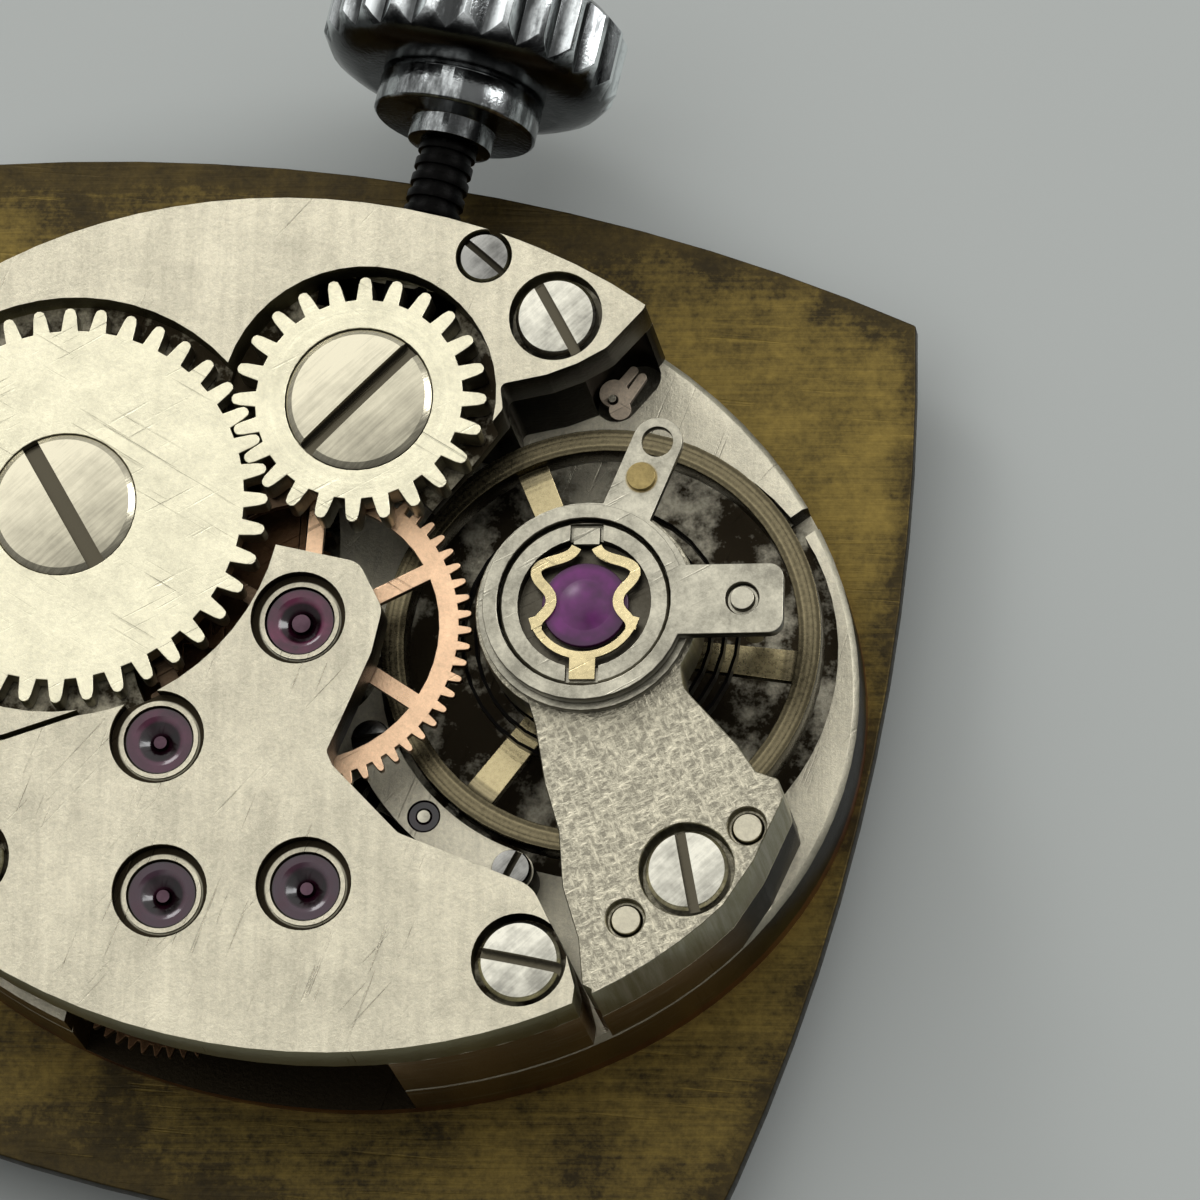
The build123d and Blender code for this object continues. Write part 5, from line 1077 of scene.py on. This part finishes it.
class MOVEMENT_OT_regulator(Dressing, bpy.types.Operator):
    """The regulator, the stud carrier and the shock setting"""
    bl_idname = "movement.regulator"
    bl_label = "Regulator and shock setting"

    def build(self, metals, edges):
        dress(regulator_steel(metals), edges.small,
              "regulator", "stud_carrier", "shock_block", "lower_shock_block")
        dress(wheel_metal("Stud steel", metals.steel, 0.3), edges.small, "hairspring_stud")
        dress(wheel_metal("Gilt spring", metals.gold, 0.2, dull=0.6), edges.small * LYRE_EDGE_SHARE,
              "shock_spring")
        dress(violet_ruby(metals), edges.small, "cap_jewel")


class MOVEMENT_OT_jewels(Dressing, bpy.types.Operator):
    """The jewels of the train and the escapement"""
    bl_idname = "movement.jewels"
    bl_label = "Jewels"

    def build(self, metals, edges):
        stone = ruby(metals)
        dress(stone, edges.small, "bridge_jewels", "small_jewels", local=True)
        dress(stone, 0, "balance_hole_jewel", "pallet_stones", "impulse_jewel")


class MOVEMENT_OT_screws(Dressing, bpy.types.Operator):
    """The slotted screws and the steady pins"""
    bl_idname = "movement.screws"
    bl_label = "Screws"

    def build(self, metals, edges):
        tree = screw_tree()
        bright = screw_steel("Bridge screw steel", metals.screw, metals.slot, 2.6)
        dark = screw_steel("Small screw steel", metals.small_screw, dimmed(metals.slot, 0.3), 3.0)
        cream = screw_steel("Winding screw steel", metals.winding_screw, metals.slot, 0.9)
        for node, metal in (("bridge_screws", bright), ("small_screws", dark), ("click_screw", bright),
                            ("ratchet_wheel_screw", cream), ("crown_wheel_screw", cream)):
            slotted_screws(node, metal, edges, tree)
        dress(wheel_metal("Pin brass", metals.nickel), edges.small, "steady_pins")


class MOVEMENT_OT_crown(Dressing, bpy.types.Operator):
    """The winding stem and its fluted crown"""
    bl_idname = "movement.crown"
    bl_label = "Stem and crown"

    def build(self, metals, edges):
        dress(crown_steel(metals), edges.crown, "crown")
        dark = blackened(metals, "Stem steel")
        dress(dark, edges.small, "winding_stem")
        dress(dark, 0, "winding_pinion", "sliding_pinion")


class MOVEMENT_OT_keyless(Dressing, bpy.types.Operator):
    """The setting lever, its spring and the yoke, with the detent plate beside the balance"""
    bl_idname = "movement.keyless"
    bl_label = "Keyless levers"

    def build(self, metals, edges):
        dress(steel("Lever steel", metals.steel), 0, "setting_lever", "setting_lever_spring", "yoke")
        dress(wheel_metal("Detent brass", metals.detent, 0.5, dull=0.5, metallic=0.2),
              edges.small, "detent_plate")


class MOVEMENT_OT_stage(bpy.types.Operator):
    """Floor, world, lamps and camera"""
    bl_idname = "movement.stage"
    bl_label = "Stage"

    def execute(self, context):
        stage = context.scene.movement_stage
        build_floor(stage)
        build_world(stage)
        build_lamps(stage)
        build_camera(stage)
        return {"FINISHED"}


def build_floor(stage):
    """A wide pale floor, level with the lowest point of the solids."""
    low = cad_box[0][2]
    corners = ((-1, -1), (1, -1), (1, 1), (-1, 1))
    mesh = bpy.data.meshes.new("Floor")
    mesh.from_pydata([(x * FLOOR_REACH, y * FLOOR_REACH, low) for x, y in corners], [], [(0, 1, 2, 3)])
    floor = new_piece("Floor", mesh)
    finish = Finish("Floor paper")
    cloud = finish.noise(finish.place((0.06, 0.06, 0.06)), 1.0, 2.0, 0.5)
    finish.set(Base_Color=finish.mix(cloud, dimmed(stage.floor, 0.93), stage.floor), Roughness=0.8)
    mesh.materials.append(finish.material)


def build_world(stage):
    """Light all round: bright overhead, dark near the floor and where the camera blocks it."""
    world = bpy.data.worlds.new("Studio")
    world.use_nodes = True
    sky = Nodes(world.node_tree)
    way = sky.node("ShaderNodeTexCoord", {}, {}, "Generated")

    def along(direction):
        return sky.node("ShaderNodeVectorMath", {"operation": "DOT_PRODUCT"}, {
            0: way, 1: direction}, "Value")

    def grey(level):
        return (level, level, level * 0.985, 1.0)

    overhead = along(tuple(Vector(SKY_MIDDLE).normalized()))
    colour = sky.node("ShaderNodeValToRGB", {
        "stops": [(place, grey(level)) for place, level in SKY_LEVELS]}, {0: overhead})
    behind = along(tuple(-Vector(stage.camera_forward).normalized())).between(*CAMERA_SHADE_COSINES)
    colour = sky.node("ShaderNodeMix", {"data_type": "RGBA"}, {
        0: behind * 0.75, 6: colour, 7: grey(0.05)}, 2)
    background = sky.node("ShaderNodeBackground", {}, {0: colour, 1: stage.world_level})
    sky.node("ShaderNodeOutputWorld", {}, {0: background})
    bpy.context.scene.world = world


def soft_lamp(name, place, power):
    """A square lamp that shines on the frame's origin."""
    data = bpy.data.lights.new(name, "AREA")
    data.shape = "SQUARE"
    data.size = LAMP_SIZE
    data.energy = power
    lamp = new_piece(name, data)
    lamp.location = place
    lamp.rotation_euler = (-Vector(place)).to_track_quat("-Z", "Y").to_euler()


def build_lamps(stage):
    soft_lamp("Key", KEY_PLACE, stage.key_power)
    soft_lamp("Side", SIDE_PLACE, stage.fill_power)


def build_camera(stage):
    forward = Vector(stage.camera_forward).normalized()
    up = Vector(stage.camera_up)
    right = forward.cross(up).normalized()
    up = right.cross(forward)
    data = bpy.data.cameras.new("Camera")
    data.sensor_width = SENSOR_WIDTH
    data.lens = stage.lens
    data.clip_start, data.clip_end = CLIP
    camera = new_piece("Camera", data)
    turn = Matrix((right, up, -forward)).transposed().to_4x4()
    camera.matrix_world = Matrix.Translation(Vector(stage.camera_place)) @ turn
    bpy.context.scene.camera = camera


OPERATORS = (
    MOVEMENT_OT_dial, MOVEMENT_OT_bridges, MOVEMENT_OT_winding, MOVEMENT_OT_train,
    MOVEMENT_OT_escapement, MOVEMENT_OT_balance, MOVEMENT_OT_regulator, MOVEMENT_OT_jewels,
    MOVEMENT_OT_screws, MOVEMENT_OT_crown, MOVEMENT_OT_keyless, MOVEMENT_OT_stage,
)


class MOVEMENT_PT_sidebar(bpy.types.Panel):
    """Lists the movement's pieces"""
    bl_label = "Movement"
    bl_idname = "MOVEMENT_PT_sidebar"
    bl_space_type = "VIEW_3D"
    bl_region_type = "UI"
    bl_category = "Movement"

    def draw(self, context):
        for operator in OPERATORS:
            self.layout.operator(operator.bl_idname)


def register():
    for group in GROUPS.values():
        bpy.utils.register_class(group)
    for operator in OPERATORS:
        bpy.utils.register_class(operator)
    bpy.utils.register_class(MOVEMENT_PT_sidebar)
    for name, group in GROUPS.items():
        setattr(bpy.types.Scene, "movement_" + name, bpy.props.PointerProperty(type=group))


def unregister():
    for name in GROUPS:
        delattr(bpy.types.Scene, "movement_" + name)
    bpy.utils.unregister_class(MOVEMENT_PT_sidebar)
    for operator in reversed(OPERATORS):
        bpy.utils.unregister_class(operator)
    for group in reversed(GROUPS.values()):
        bpy.utils.unregister_class(group)


def main():
    register()
    bpy.context.scene.view_settings.view_transform = "Standard"
    for operator in OPERATORS:
        area, name = operator.bl_idname.split(".")
        getattr(getattr(bpy.ops, area), name)()


if __name__ == "__main__":
    main()
